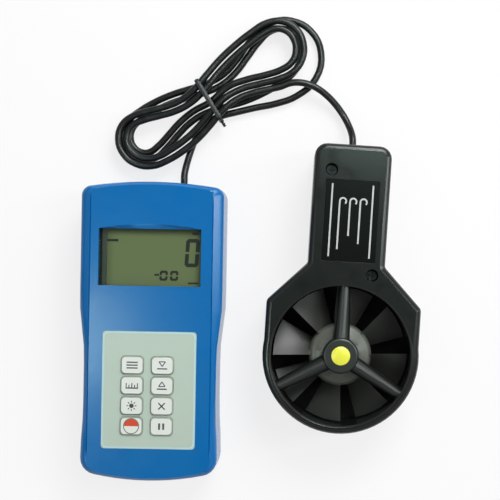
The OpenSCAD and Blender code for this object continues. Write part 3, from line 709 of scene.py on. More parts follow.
@dataclass(frozen=True)
class FloorPaper(Finish):
    """Pale sheet that is plain white far off, that keeps its lit shadow near the object, and that has a
    painted shadow under the duct.

    Attributes:
        white: share of plain white in what the eye sees near the object.
        bounce: share of its colour in the light that it throws back at the object.
        middle: middle of the object, in metres.
        spread: distances from it between which the sheet becomes plain white.
        duct: middle of the round of painted shadow under the duct, in metres.
        reach: its inner and outer radius, in metres.
        dark: share of the sheet's colour within the painted shadow.
        tooth: distance between the bumps of the paper, in millimetres.
        depth: their height, in millimetres.
    """

    white: float = 0.8
    bounce: float = 0.6
    middle: tuple[float, float, float] = (0.046, 0.043, 0.0)
    spread: Flat = (0.1, 0.3)
    duct: tuple[float, float, float] = (DUCT_AXIS[0] * MM, DUCT_AXIS[1] * MM, 0.0)
    reach: Flat = (0.034, 0.0365)
    dark: float = 0.02
    tooth: float = 0.8
    depth: float = 0.006

    def away(self, graph: Graph, spot: Sequence[float], bounds: Flat) -> Socket:
        """Nought to one between two distances from a spot.

        Args:
            graph: the material's node tree.
            spot: the spot, in metres.
            bounds: the distances, in metres.

        Returns:
            The share.
        """
        ends = {0: graph.place(), 1: spot}
        apart = graph.node("ShaderNodeVectorMath", {"operation": "DISTANCE"}, ends, output=1)
        return apart.ramp(*bounds)

    def paint(self, graph: Graph) -> None:
        """Mixes the lit sheet with plain white for the rays that show it, and paints a shadow under the
        duct.

        Args:
            graph: the material's node tree.
        """
        tooth = graph.noise(self.tooth, 2)
        # Painted shadow: the sheet is dark in a round under the duct, seen through the blades, and gets no
        # white there.
        clear = self.away(graph, self.duct, self.reach)
        far = self.away(graph, self.middle, self.spread)
        rays = ("Is Camera Ray", "Is Glossy Ray", "Is Transmission Ray")
        seen = sum(graph.node("ShaderNodeLightPath", output=ray) for ray in rays)
        pale = self.between(graph, seen, self.bounce)
        graph.surface(
            Base_Color=graph.mix(clear, scaled(self.colour, self.dark), pale),
            Roughness=self.rough,
            Specular_IOR_Level=0.1,
            Normal=graph.bump(tooth, self.depth),
        )
        glow = graph.node("ShaderNodeEmission", None, {"Color": self.colour, "Strength": 1.0})
        lit = Socket(graph, graph.find("BSDF_PRINCIPLED").outputs[0])
        share = seen * clear * (self.white + (1 - self.white) * far)
        sheet = graph.node("ShaderNodeMixShader", None, {0: share, 1: lit, 2: glow})
        graph.put(graph.find("OUTPUT_MATERIAL").inputs["Surface"], sheet)


CASE_BLUE = Moulded("case_blue_plastic", srgb(4, 106, 175), 0.20, grain=0.42, depth=0.0025, specular=0.42)
PROBE_BLACK = Moulded(
    "probe_black_plastic", srgb(24, 27, 25), 0.22, grain=0.55, depth=0.006, mottle=0.16, specular=0.42
)
SPIDER_BLACK = Moulded(
    "spider_black_plastic", srgb(25, 28, 26), 0.34, grain=0.5, depth=0.006, mottle=0.14, specular=0.6
)
# The paler hub colour is a painted highlight on the hub.
ROTOR_GREY = HighlitHubPlastic(
    "rotor_satin_painted_hub_highlight", srgb(50, 53, 49), 0.33, grain=0.7, depth=0.008, mottle=0.14, specular=0.45,
    axis=DUCT_AXIS, hub=14.6, pale=srgb(88, 91, 83),
)
DARK_PLASTIC = Moulded("dark_plastic_moulded", srgb(26, 28, 30), 0.45, grain=0.5, depth=0.01)
WHITE_PLASTIC = Moulded(
    "white_plastic_moulded", srgb(232, 232, 226), 0.38, grain=0.6, depth=0.006, mottle=0.03
)
KEY_SIDE = Moulded("key_side_rubber", srgb(156, 164, 153), 0.5, grain=0.3, depth=0.004, specular=0.3)
# Painted shade: the frame's dark green stands for the LCD in the shadow of the window's left wall.
FRAME_PAINTED_SHADE = Moulded("lcd_frame_painted_shade", srgb(44, 54, 42), 0.5, grain=0.4, depth=0.006, specular=0.3)
KEY_WHITE = Film("key_cap_film", srgb(226, 231, 224), 0.42, tooth=0.2)
PANEL_FILM = Film("keypad_film_print", srgb(183, 201, 187), 0.45)
LABEL_FILM = Film("label_film_print", srgb(12, 14, 14), 0.24, tooth=0.3, coat=0.0, specular=0.14)
DOT_YELLOW = Film("dot_disc", srgb(238, 238, 62), 0.35, tooth=0.3, coat=0.4)
EDGE_INK = Ink("pale_edge_ink", srgb(186, 220, 222), 0.4)
OUTLINE_INK = Ink("outline_ink", srgb(112, 122, 112), 0.5)
MARK_INK = Ink("mark_ink", srgb(76, 82, 81), 0.5)
RED_INK = Ink("red_ink", srgb(212, 78, 48), 0.45)
SILVER_INK = Ink("silver_ink", srgb(196, 200, 198), 0.4)
SEGMENT_INK = Ink("segment_ink", srgb(12, 16, 12), 0.5)
CORD_RUBBER = Rubber("cord_jacket", srgb(20, 22, 22), 0.28)
SLEEVE_RUBBER = Rubber("grommet_rubber", srgb(34, 36, 36), 0.55)
TIE_RUBBER = Rubber("tie_jacket", srgb(38, 40, 42), 0.4)
PLATED = Metal("plated_steel", srgb(186, 188, 190), 0.30)
SCREW_BLACK = Metal("blackened_screw", srgb(44, 44, 46), 0.3)
SPRING_STEEL = Metal("spring_steel", srgb(176, 178, 182), 0.26, lines=(6, 1, 1))
BUSH = Sintered("sintered_bush", srgb(202, 166, 84), 0.38, metallic=0.9)
FERRITE = Sintered("ferrite_ring", srgb(74, 74, 78), 0.6, metallic=0.3)
WINDOW = Clear("window_acrylic", srgb(205, 214, 205), 0.08)
BOARD_GREEN = Board("board_mask", srgb(28, 96, 56), 0.4)
SLEEVE_PRINT = CellSleeve("cell_sleeve", srgb(176, 180, 178), 0.32, ring=-34.0, band=srgb(66, 100, 88))
LAYERED_RUBBER = Striped("layered_rubber", srgb(222, 168, 156), 0.6, pitch=0.3, stripe=srgb(30, 30, 32))
RIBBON = Striped("ribbon_film", srgb(190, 120, 40), 0.4, pitch=0.6, stripe=srgb(222, 168, 92))
FLOOR_PAPER = FloorPaper("floor_paper", srgb(252, 252, 252), 0.9)


def link(name: str, data: bpy.types.ID) -> bpy.types.Object:
    """A new object in the scene.

    Args:
        name: its name.
        data: its mesh, curve, lamp or camera.

    Returns:
        The object.
    """
    made = bpy.data.objects.new(name, data)
    bpy.context.scene.collection.objects.link(made)
    return made


def meshed(
    shape: bmesh.types.BMesh, name: str, finish: Finish, crease: float | None = None
) -> bpy.types.Mesh:
    """A mesh of a gathered shape, which is freed.

    Args:
        shape: the shape.
        name: the mesh's name.
        finish: its finish.
        crease: angle from which an edge of a smooth mesh is sharp, in degrees.

    Returns:
        The mesh.
    """
    mesh = bpy.data.meshes.new(name)
    shape.to_mesh(mesh)
    shape.free()
    mesh.materials.append(finish.material())
    if crease is not None:
        mesh.shade_smooth()
        mesh.set_sharp_from_angle(angle=math.radians(crease))
    return mesh


def over(node: str) -> tuple[Matrix, float]:
    """The place over a CAD node.

    Args:
        node: the CAD node.

    Returns:
        The place over its middle, and the level of its top in millimetres.
    """
    low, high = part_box(node)
    middle = (low + high) / 2
    return Matrix.Translation((middle.x, middle.y, 0.0)), high.z / MM


def rounded(width: float, height: float, radius: float, steps: int = 6) -> Loop:
    """Outline of a rectangle with round corners, about the origin.

    Args:
        width: full width.
        height: full height.
        radius: corner radius.
        steps: segments of a corner.

    Returns:
        The outline, counter-clockwise.
    """
    loop: Loop = []
    for quarter, (sx, sy) in enumerate(((1, 1), (-1, 1), (-1, -1), (1, -1))):
        cx = sx * (width / 2 - radius)
        cy = sy * (height / 2 - radius)
        for step in range(steps + 1):
            turn = math.radians(90 * (quarter + step / steps))
            loop.append((cx + radius * math.cos(turn), cy + radius * math.sin(turn)))
    return loop


def arc(radius: float, start: float, stop: float, steps: int = 24) -> Loop:
    """Points on a circle about the origin between two angles in degrees."""
    turns = [math.radians(start + (stop - start) * i / steps) for i in range(steps + 1)]
    return [(radius * math.cos(t), radius * math.sin(t)) for t in turns]


def circle(radius: float, steps: int = 24) -> Loop:
    """Points on a whole circle about the origin."""
    return arc(radius, 0, 360, steps)[:-1]


def ease(share: float) -> float:
    """A share from nought to one that starts and ends gently."""
    return share * share * (3 - 2 * share)


def bar(start: Flat, stop: Flat, width: float) -> Loop:
    """Outline of a straight stroke.

    Args:
        start: middle of its first end.
        stop: middle of its other end.
        width: its width.

    Returns:
        The outline.
    """
    run = math.dist(start, stop)
    ux, uy = (stop[0] - start[0]) / run, (stop[1] - start[1]) / run
    half = width / 2
    local = [(0.0, -half), (run, -half), (run, half), (0.0, half)]
    return [(start[0] + ux * a - uy * b, start[1] + uy * a + ux * b) for a, b in local]


def stroke(path: Loop, width: float) -> Loop:
    """Outline of a bent stroke.

    Args:
        path: points along its middle.
        width: its width.

    Returns:
        The outline.
    """
    left, right = [], []
    for i, (x, y) in enumerate(path):
        (ax, ay), (bx, by) = path[max(i - 1, 0)], path[min(i + 1, len(path) - 1)]
        run = math.hypot(bx - ax, by - ay)
        nx, ny = (ay - by) / run * width / 2, (bx - ax) / run * width / 2
        left.append((x + nx, y + ny))
        right.append((x - nx, y - ny))
    return [*right, *reversed(left)]


class Print:
    """Flat printed shapes that are gathered into one thin piece."""

    def __init__(self) -> None:
        """Starts with nothing printed."""
        self.shapes = bmesh.new()

    def corners(self, loop: Loop) -> list[bmesh.types.BMVert]:
        """New vertices of an outline."""
        return [self.shapes.verts.new((x * MM, y * MM, 0.0)) for x, y in loop]

    def fill(self, *loops: Loop) -> "Print":
        """Adds solid shapes.

        Args:
            loops: their outlines.

        Returns:
            This gathering.
        """
        for loop in loops:
            self.shapes.faces.new(self.corners(loop))
        return self

    def band(self, outer: Loop, inner: Loop) -> "Print":
        """Adds a closed band.

        Args:
            outer: its outer outline.
            inner: its inner outline, of as many points.

        Returns:
            This gathering.
        """
        rims = (self.corners(outer), self.corners(inner))
        count = len(outer)
        for i in range(count):
            k = (i + 1) % count
            self.shapes.faces.new((rims[0][i], rims[0][k], rims[1][k], rims[1][i]))
        return self

    def build(self, name: str, height: float, finish: Finish, body: str, place: Matrix) -> bpy.types.Object:
        """Makes the piece.

        Args:
            name: the piece's name.
            height: level of the face that it lies on, in millimetres.
            finish: its ink.
            body: the body that it rides on.
            place: where its flat frame lies.

        Returns:
            The piece.
        """
        bmesh.ops.recalc_face_normals(self.shapes, faces=self.shapes.faces)
        for face in self.shapes.faces:
            if face.normal.z < 0:
                face.normal_flip()
        grown = bmesh.ops.extrude_face_region(self.shapes, geom=list(self.shapes.faces))
        tops = [v for v in grown["geom"] if isinstance(v, bmesh.types.BMVert)]
        bmesh.ops.translate(self.shapes, verts=tops, vec=(0, 0, INK_THICKNESS * MM))
        bmesh.ops.transform(self.shapes, matrix=place, verts=self.shapes.verts)
        bmesh.ops.translate(self.shapes, verts=self.shapes.verts, vec=(0, 0, height * MM))
        bmesh.ops.recalc_face_normals(self.shapes, faces=self.shapes.faces)
        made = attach(link(name, meshed(self.shapes, name, finish)), body)
        LOG.info("printed %s", name)
        return made


class Skin:
    """Smooth skins over rings of points, gathered into one piece.

    Attributes:
        CREASE: angle from which an edge is sharp, in degrees.
    """

    CREASE = 50.0

    def __init__(self) -> None:
        """Starts with no skin."""
        self.shape = bmesh.new()

    def add(self, rings: Sequence[Sequence[Vector]], closed: bool = False) -> "Skin":
        """Adds a skin.

        Args:
            rings: rings of as many points each, in millimetres.
            closed: whether the last ring joins the first.

        Returns:
            This gathering.
        """
        loops = [[self.shape.verts.new(point * MM) for point in ring] for ring in rings]
        follow = loops[1:] + loops[:1] if closed else loops[1:]
        count = len(rings[0])
        for here, there in zip(loops, follow):
            for i in range(count):
                k = (i + 1) % count
                self.shape.faces.new((here[i], here[k], there[k], there[i]))
        if not closed:
            self.shape.faces.new(loops[0])
            self.shape.faces.new(loops[-1])
        return self

    def build(self, name: str, finish: Finish, place: Matrix) -> bpy.types.Object:
        """Makes the piece from the skins.

        Args:
            name: the piece's name.
            finish: its finish.
            place: where its frame lies.

        Returns:
            The piece.
        """
        bmesh.ops.recalc_face_normals(self.shape, faces=self.shape.faces)
        bmesh.ops.transform(self.shape, matrix=place, verts=self.shape.verts)
        LOG.info("skinned %s", name)
        return link(name, meshed(self.shape, name, finish, self.CREASE))


class SubAssembly:
    """Pieces that belong together, built and dressed by their class.

    Attributes:
        MERGE: distance below which points of a CAD mesh become one, in metres.
        FLAT_ANGLE: angle below which its facets become one face, in degrees.
        FLUSH: distance from the parting plane within which an edge lies in it, in millimetres.
        UPRIGHT: rise of its normal below which a face is a wall.
        EDGE_STEPS: facets of a broken edge.
    """

    MERGE = 1e-6
    FLAT_ANGLE = 0.6
    FLUSH = 0.01
    UPRIGHT = 0.5
    EDGE_STEPS = 2

    def build(self) -> None:
        """Builds and dresses all pieces."""
        raise NotImplementedError

    def dress(
        self,
        node: str,
        finish: Finish,
        slot: str,
        body: str = Body.ROOT.value,
        edge: float = 0.25,
        crease: float = 32.0,
        parting: float | None = None,
    ) -> bpy.types.Object:
        """Stands a smooth copy with broken edges in for a CAD node.

        Args:
            node: the CAD node.
            finish: the copy's finish.
            slot: name of a material slot; not used.
            body: the body that it rides on.
            edge: width of its broken edges, in millimetres.
            crease: angle from which an edge is sharp, in degrees.
            parting: height of a shell's parting plane, in millimetres.

        Returns:
            The copy.
        """
        shape = bmesh.new()
        shape.from_mesh(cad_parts[node].data)
        bmesh.ops.remove_doubles(shape, verts=shape.verts, dist=self.MERGE)
        bmesh.ops.dissolve_limit(
            shape, angle_limit=math.radians(self.FLAT_ANGLE), verts=shape.verts, edges=shape.edges
        )
        if parting is not None:
            self.part_line(shape, parting)
        name = f"{node}_skin"
        made = link(name, meshed(shape, name, finish, crease))
        if edge > 0:
            broken = made.modifiers.new("edges", "BEVEL")
            broken.width = edge * MM
            broken.segments = self.EDGE_STEPS
            broken.limit_method = "ANGLE"
            broken.angle_limit = math.radians(crease)
        flat = made.modifiers.new("normals", "WEIGHTED_NORMAL")
        flat.keep_sharp = True
        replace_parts(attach(made, body), node)
        LOG.info("dressed %s", node)
        return made

    def part_line(
        self, shape: bmesh.types.BMesh, level: float, width: float = 0.3, within: Flat = (29.8, 67.0)
    ) -> None:
        """Breaks a shell's outer edge where it meets the other shell. Lengths in millimetres.

        Args:
            shape: the shell.
            level: height of the parting plane.
            width: width of the broken edge.
            within: half width and half length inside which no outer wall lies.
        """
        rim = []
        for edge in shape.edges:
            middle = (edge.verts[0].co + edge.verts[1].co) / 2
            outside = abs(middle.x) > within[0] * MM or abs(middle.y) > within[1] * MM
            flush = all(abs(v.co.z / MM - level) < self.FLUSH for v in edge.verts)
            upright = (f.normal for f in edge.link_faces if abs(f.normal.z) < self.UPRIGHT)
            if outside and flush and any(normal.dot(middle) > 0 for normal in upright):
                rim.append(edge)
        bmesh.ops.bevel(
            shape, geom=rim, offset=width * MM, segments=1, profile=0.5, affect="EDGES", clamp_overlap=False
        )

    def paint(self, finish: Finish, *nodes: str) -> None:
        """Gives a finish to CAD nodes that keep their own mesh.

        Args:
            finish: the finish.
            nodes: the CAD nodes.
        """
        for node in nodes:
            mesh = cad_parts[node].data
            mesh.materials.clear()
            mesh.materials.append(finish.material())
            LOG.info("painted %s", node)


@dataclass(frozen=True)
class Lamp:
    """A soft box that faces the object. Lengths in metres.

    Attributes:
        name: the lamp's name.
        spot: its place.
        size: its width and height.
        power: its power, in watts.
        gloss: whether it is tinted and shows in gloss alone.
        TARGET: the place that lamps face.
        TINT: colour of the lamps that show in gloss alone.
    """

    name: str
    spot: tuple[float, float, float]
    size: Flat
    power: float
    gloss: bool = False

    TARGET = (0.05, 0.03, 0.01)
    TINT = (0.74, 1.0, 0.88)

    def hang(self) -> None:
        """Hangs the lamp in the scene."""
        data = bpy.data.lights.new(self.name, "AREA")
        data.shape = "RECTANGLE"
        data.size, data.size_y = self.size
        data.energy = self.power
        made = link(self.name, data)
        made.location = self.spot
        aim = Vector(self.TARGET) - Vector(self.spot)
        made.rotation_euler = aim.to_track_quat("-Z", "Y").to_euler()
        if self.gloss:
            data.color = self.TINT
            made.visible_diffuse = False


@dataclass
class Stage(SubAssembly):
    """Camera, floor, light and background.

    Attributes:
        eye: the camera's place, in millimetres.
        turn: the camera's turn about the vertical, in degrees.
        lens: its focal length, in millimetres.
        sensor: width of its sensor, in millimetres.
        shift: its sideways and upward shift.
        half: half the floor's width, in metres.
        drop: how far the floor lies below the object, in millimetres.
        sky: brightest light of the surroundings.
        backdrop: light of the pale wall far behind the floor.
        low_share: share of the sky between that wall and the bright ceiling.
        top_share: share of the sky that the dark middle of the ceiling lacks.
        wall: heights between which the wall ends, on a unit sphere.
        ceiling: heights between which the bright ceiling starts.
        zenith: heights between which its dark middle starts.
        LAMPS: the lamps.
    """

    eye: tuple[float, float, float] = (69.14, 29.7, 500.0)
    turn: float = 1.0
    lens: float = 73.08
    sensor: float = 36.0
    shift: Flat = (-0.1, 0.04)
    half: float = 3.0
    drop: float = 0.15
    sky: Colour = (0.55, 0.55, 0.55, 1.0)
    backdrop: Colour = (0.97, 0.97, 0.97, 1.0)
    low_share: float = 0.35
    top_share: float = 0.9
    wall: Flat = (0.08, 0.18)
    ceiling: Flat = (0.35, 0.75)
    zenith: Flat = (0.9, 0.975)

    LAMPS = (
        Lamp("key", (0.3, 0.6, 0.56), (0.4, 0.4), 5.2),
        Lamp("strip", (0.85, 0.2, 0.75), (0.15, 0.9), 3.2),
        Lamp("sheen", (-0.415, -0.13, 1.15), (0.12, 0.42), 2.2, gloss=True),
        Lamp("glint", (0.25, 0.42, 1.15), (0.16, 0.12), 4.4, gloss=True),
        Lamp("edge", (0.75, 0.05, 0.8), (0.1, 1.0), 1.2, gloss=True),
    )

    def build(self) -> None:
        """Sets the camera, the floor and the lights."""
        self.camera()
        self.floor()
        for lamp in self.LAMPS:
            lamp.hang()
        self.background()
        bpy.context.scene.view_settings.view_transform = "Standard"

    def camera(self) -> None:
        """Looks straight down, as the photo does."""
        data = bpy.data.cameras.new("camera")
        data.lens = self.lens
        data.sensor_width = self.sensor
        data.shift_x, data.shift_y = self.shift
        made = link("camera", data)
        made.location = Vector(self.eye) * MM
        made.rotation_euler = (0.0, 0.0, math.radians(self.turn))
        bpy.context.scene.camera = made

    def floor(self) -> None:
        """Lays a plain pale sheet under the object."""
        mesh = bpy.data.meshes.new("floor")
        spots = [(x * self.half, y * self.half, 0.0) for x, y in ((-1, -1), (1, -1), (1, 1), (-1, 1))]
        mesh.from_pydata(spots, [], [(0, 1, 2, 3)])
        mesh.materials.append(FLOOR_PAPER.material())
        made = link("floor", mesh)
        made.location.z = -self.drop * MM

    def background(self) -> None:
        """Surrounds the object with a pale wall and a bright ceiling that is dim at its middle."""
        world = bpy.data.worlds.new("studio")
        world.use_nodes = True
        bpy.context.scene.world = world
        graph = Graph(world.node_tree)
        way = graph.node("ShaderNodeTexCoord", output="Generated")
        height = graph.node("ShaderNodeSeparateXYZ", None, {0: way}, output="Z")
        rise = self.low_share + (1 - self.low_share) * height.ramp(*self.ceiling)
        share = rise - self.top_share * height.ramp(*self.zenith)
        shade = graph.mix(height.ramp(*self.wall), self.backdrop, graph.mix(share, BLACK, self.sky))
        graph.put(graph.find("BACKGROUND").inputs["Color"], shade)


@dataclass
class Tie:
    """Twist tie: a strip over a wire, round the hank, with its two ends twisted. Lengths in millimetres.

    Attributes:
        low: lower edge of the strip's middle line across the hank.
        high: its upper edge.
        floor: its lowest level.
        top: its highest level.
        corner: radius of its corners.
        tail: length of the twisted ends.
        turns: turns of that twist.
        slim: size of a twisted end beside the strip.
        swing: distance of a twisted end from the twist's middle.
        steps: rings of a twisted end.
        PROFILE: upper half of the strip's section.
    """

    low: float = -12.58
    high: float = 10.29
    floor: float = 0.45
    top: float = 10.3
    corner: float = 1.9
    tail: float = 3.3
    turns: float = 1.25
    slim: float = 0.65
    swing: float = 0.32
    steps: int = 12

    PROFILE = (
        (-1.1, 0.13), (-0.5, 0.17), (-0.25, 0.34), (0.0, 0.4), (0.25, 0.34), (0.5, 0.17), (1.1, 0.13)
    )

    def section(self) -> Loop:
        """Outline of the strip across its length, with the wire's swelling on both faces."""
        return [*self.PROFILE, *((along, -off) for along, off in reversed(self.PROFILE))]

    def band(self) -> list[list[Vector]]:
        """The strip round the hank.

        Returns:
            Its rings.
        """
        path = rounded(self.high - self.low, self.top - self.floor, self.corner)
        across, level = (self.low + self.high) / 2, (self.floor + self.top) / 2
        rings = []
        for i, (u, v) in enumerate(path):
            (au, av), (bu, bv) = path[i - 1], path[(i + 1) % len(path)]
            out = Vector((bv - av, au - bu)).normalized()
            rings.append(
                [Vector((w, across + u + out.x * n, level + v + out.y * n)) for w, n in self.section()]
            )
        return rings

    def end(self, phase: float) -> list[list[Vector]]:
        """One twisted end.

        Args:
            phase: angle at which it starts, in degrees.

        Returns:
            Its rings.
        """
        level = (self.floor + self.top) / 2
        rings = []
        for i in range(self.steps + 1):
            turn = math.radians(phase + 360 * self.turns * i / self.steps)
            c, s = math.cos(turn), math.sin(turn)
            y = self.low - self.tail * i / self.steps
            ring = []
            for w, n in self.section():
                side, out = w * self.slim, n * self.slim + self.swing
                ring.append(Vector((c * out - s * side, y, level + s * out + c * side)))
            rings.append(ring)
        return rings

    def make(self, place: Matrix) -> bpy.types.Object:
        """Makes the tie as one piece.

        Args:
            place: where its frame lies.

        Returns:
            The piece.
        """
        skin = Skin().add(self.band(), closed=True)
        for phase in (0, 180):
            skin.add(self.end(phase))
        return skin.build("twist_tie", TIE_RUBBER, place)


@dataclass
class CordRun(SubAssembly):
    """The cord from meter to probe, hanked in two lobes and tied at its waist. Lengths in millimetres.

    Attributes:
        diameter: of the cord.
        spot: the hank's waist.
        turn: the hank's turn, in degrees.
        near: length, end radius and bend of the lobe beside the meter.
        far: length, end radius and bend of the lobe above the probe.
        waist: half width of the outer loop at the tie.
        step: distance between neighbouring loops.
        layer: distance between the lower and upper loops.
        low: level of the lower loops' middle.
        lobes: lobes that are passed on each of these two levels.
        loose: how far the first loop hangs out of the far lobe.
        loose_at: place of that loop along the hank, and half its reach.
        climb: length of the hank over which it rises to the upper loops.
        twists: turn of the lower and of the upper loops at the waist, in degrees.
        twist_reach: distance from the waist over which that turn fades.
        hump_reach: distance from the waist over which the loops rise under the tie.
        span: places along the hank where the cord enters and leaves it.
        samples: points of the hank.
        lead: straight length before and after the hank, in diameters.
        smooth: steps of a quarter of the cord's round, and between two points.
        METER_EXIT: where the cord leaves the meter.
        METER_LEAD: points from there to the hank.
        PROBE_LEAD: points from the hank to the probe.
        PROBE_EXIT: where the cord enters the probe.
    """

    diameter: float = 3.4
    spot: Flat = (22.8, 112.3)
    turn: float = 33.0
    near: tuple[float, float, float] = (50.0, 14.5, 0.0)
    far: tuple[float, float, float] = (57.5, 16.5, 3.0)
    waist: float = 9.5
    step: float = 3.8
    layer: float = 4.8
    low: float = 1.8
    lobes: int = 4
    loose: float = 7.0
    loose_at: Flat = (0.36, 0.27)
    climb: float = 0.16
    twists: Flat = (-14.0, 16.0)
    twist_reach: float = 24.0
    hump_reach: float = 12.0
    span: Flat = (0.075, 8.21)
    samples: int = 116
    lead: float = 1.3
    smooth: int = 4

    METER_EXIT = (12.4, 70.2, 9.0)
    METER_LEAD = (
        (12.4, 72.3, 9.0), (12.4, 74.6, 8.7), (12.8, 78.0, 7.4), (13.5, 82.0, 5.2), (14.4, 86.0, 3.2),
        (15.5, 89.8, 2.2), (16.9, 93.4, 1.9), (18.6, 96.8, 2.0), (20.6, 99.6, 2.3), (23.0, 101.7, 2.7),
        (25.8, 103.1, 2.8),
    )
    PROBE_LEAD = (
        (62.6, 120.4, 6.6), (67.4, 120.8, 6.6), (72.2, 119.9, 6.4), (76.6, 117.9, 5.9), (80.6, 115.1, 5.0),
        (84.2, 111.8, 4.0), (87.3, 108.1, 3.3), (89.9, 104.2, 3.3), (91.8, 100.2, 4.6), (93.0, 96.6, 6.6),
        (93.5, 93.6, 8.3), (93.57, 91.1, 9.0),
    )
    PROBE_EXIT = (93.47, 89.09, 9.0)

    def lobe(self, run: float, length: float, radius: float, bend: float) -> tuple[Vector, Vector]:
        """Point and direction on a lobe's outer loop: out along a flank, round its end and back.

        Args:
            run: share of the loop that is passed.
            length: length of the lobe from the waist.
            radius: radius of its round end.
            bend: how far its end lies to the side.

        Returns:
            The point, with the waist at the origin, and the direction.
        """
        flank, turn = length - radius, math.pi * radius
        run *= 2 * flank + turn
        if flank <= run <= flank + turn:
            angle = (run - flank) / radius - math.pi / 2
            point = Vector((flank + radius * math.cos(angle), radius * math.sin(angle)))
            slope = Vector((-math.sin(angle), math.cos(angle)))
        else:
            side = -1 if run < flank else 1
            x = min(run, 2 * flank + turn - run)
            share, swell = x / flank, radius - self.waist
            point = Vector((x, side * (self.waist + swell * ease(share))))
            slope = Vector((-side, -6 * swell * share * (1 - share) / flank))
        slope.y += 2 * bend * point.x / length**2 * slope.x
        point.y += bend * (point.x / length) ** 2
        return point, slope.normalized()

    def hank(self, at: float) -> Vector:
        """Point of the hank; one lobe is passed for each unit of its place.

        Args:
            at: place along the hank.

        Returns:
            The point, in millimetres.
        """
        passed = math.floor(at)
        way, sizes = (-1, self.near) if passed % 2 else (1, self.far)
        point, slope = self.lobe(at - passed, *sizes)
        out = min(1.0, abs(at - self.loose_at[0]) / self.loose_at[1])
        inset = self.step / 2 * (self.lobes - abs(at - self.lobes)) - self.loose * (1 - out * out) ** 2
        flat = way * (point + inset * Vector((-slope.y, slope.x)))
        up = ease(min(1.0, max(0.0, (at - self.lobes) / self.climb + 0.5)))
        lower, upper = self.twists
        twist = (lower + (upper - lower) * up) * math.exp(-((flat.x / self.twist_reach) ** 2))
        place = Vector(self.spot) + Matrix.Rotation(math.radians(self.turn + twist), 2) @ flat
        hump = math.exp(-((flat.x / self.hump_reach) ** 2))
        return Vector((place.x, place.y, self.low + self.layer * up + hump))

    def path(self) -> list[Vector]:
        """The whole cord from the meter's end to the probe's.

        Returns:
            Its points.
        """
        first, last = self.span
        core = [self.hank(first + (last - first) * i / self.samples) for i in range(self.samples + 1)]
        into = (core[1] - core[0]).normalized() * self.diameter * self.lead
        away = (core[-1] - core[-2]).normalized() * self.diameter * self.lead
        before = [Vector(p) for p in (self.METER_EXIT, *self.METER_LEAD)]
        after = [Vector(p) for p in (*self.PROBE_LEAD, self.PROBE_EXIT)]
        return [*before, core[0] - into, *core, core[-1] + away, *after]

    def build(self) -> None:
        """Lays the cord and ties its hank."""
        points = [p * MM for p in self.path()]
        data = bpy.data.curves.new("cord", "CURVE")
        data.dimensions = "3D"
        data.bevel_depth = self.diameter / 2 * MM
        data.bevel_resolution = self.smooth
        data.resolution_u = self.smooth
        data.use_fill_caps = True
        line = data.splines.new("BEZIER")
        line.bezier_points.add(len(points) - 1)
        for knot, point in zip(line.bezier_points, points):
            knot.co = point
            knot.handle_left_type = "AUTO"
            knot.handle_right_type = "AUTO"
        data.materials.append(CORD_RUBBER.material())
        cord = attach(link("cord", data), Body.ROOT.value)
        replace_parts(cord, "cord_meter_lead", "cord_hank", "cord_probe_lead")
        spot = Matrix.Translation((self.spot[0] * MM, self.spot[1] * MM, 0.0))
        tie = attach(Tie().make(spot @ Matrix.Rotation(math.radians(self.turn), 4, "Z")), Body.ROOT.value)
        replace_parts(tie, "cord_tie")
        length = sum((b - a).length for a, b in zip(points, points[1:]))
        LOG.info("laid the cord, %.3f m long", length)


@dataclass
class MeterCase(SubAssembly):
    """Shells, screws, cord sleeve and battery cover of the meter.

    Attributes:
        parting: height of the shells' parting plane, in millimetres.
    """

    parting: float = 14.0

    def build(self) -> None:
        """Dresses the case's outside."""
        for shell in ("front_shell", "rear_shell"):
            self.dress(shell, CASE_BLUE, "case_blue", edge=0.3, parting=self.parting)
        self.dress("battery_cover", CASE_BLUE, "case_blue", Body.COVER.value)
        self.dress("case_screws", PLATED, "steel", edge=0.12)
        self.dress("meter_grommet", SLEEVE_RUBBER, "cord_rubber")


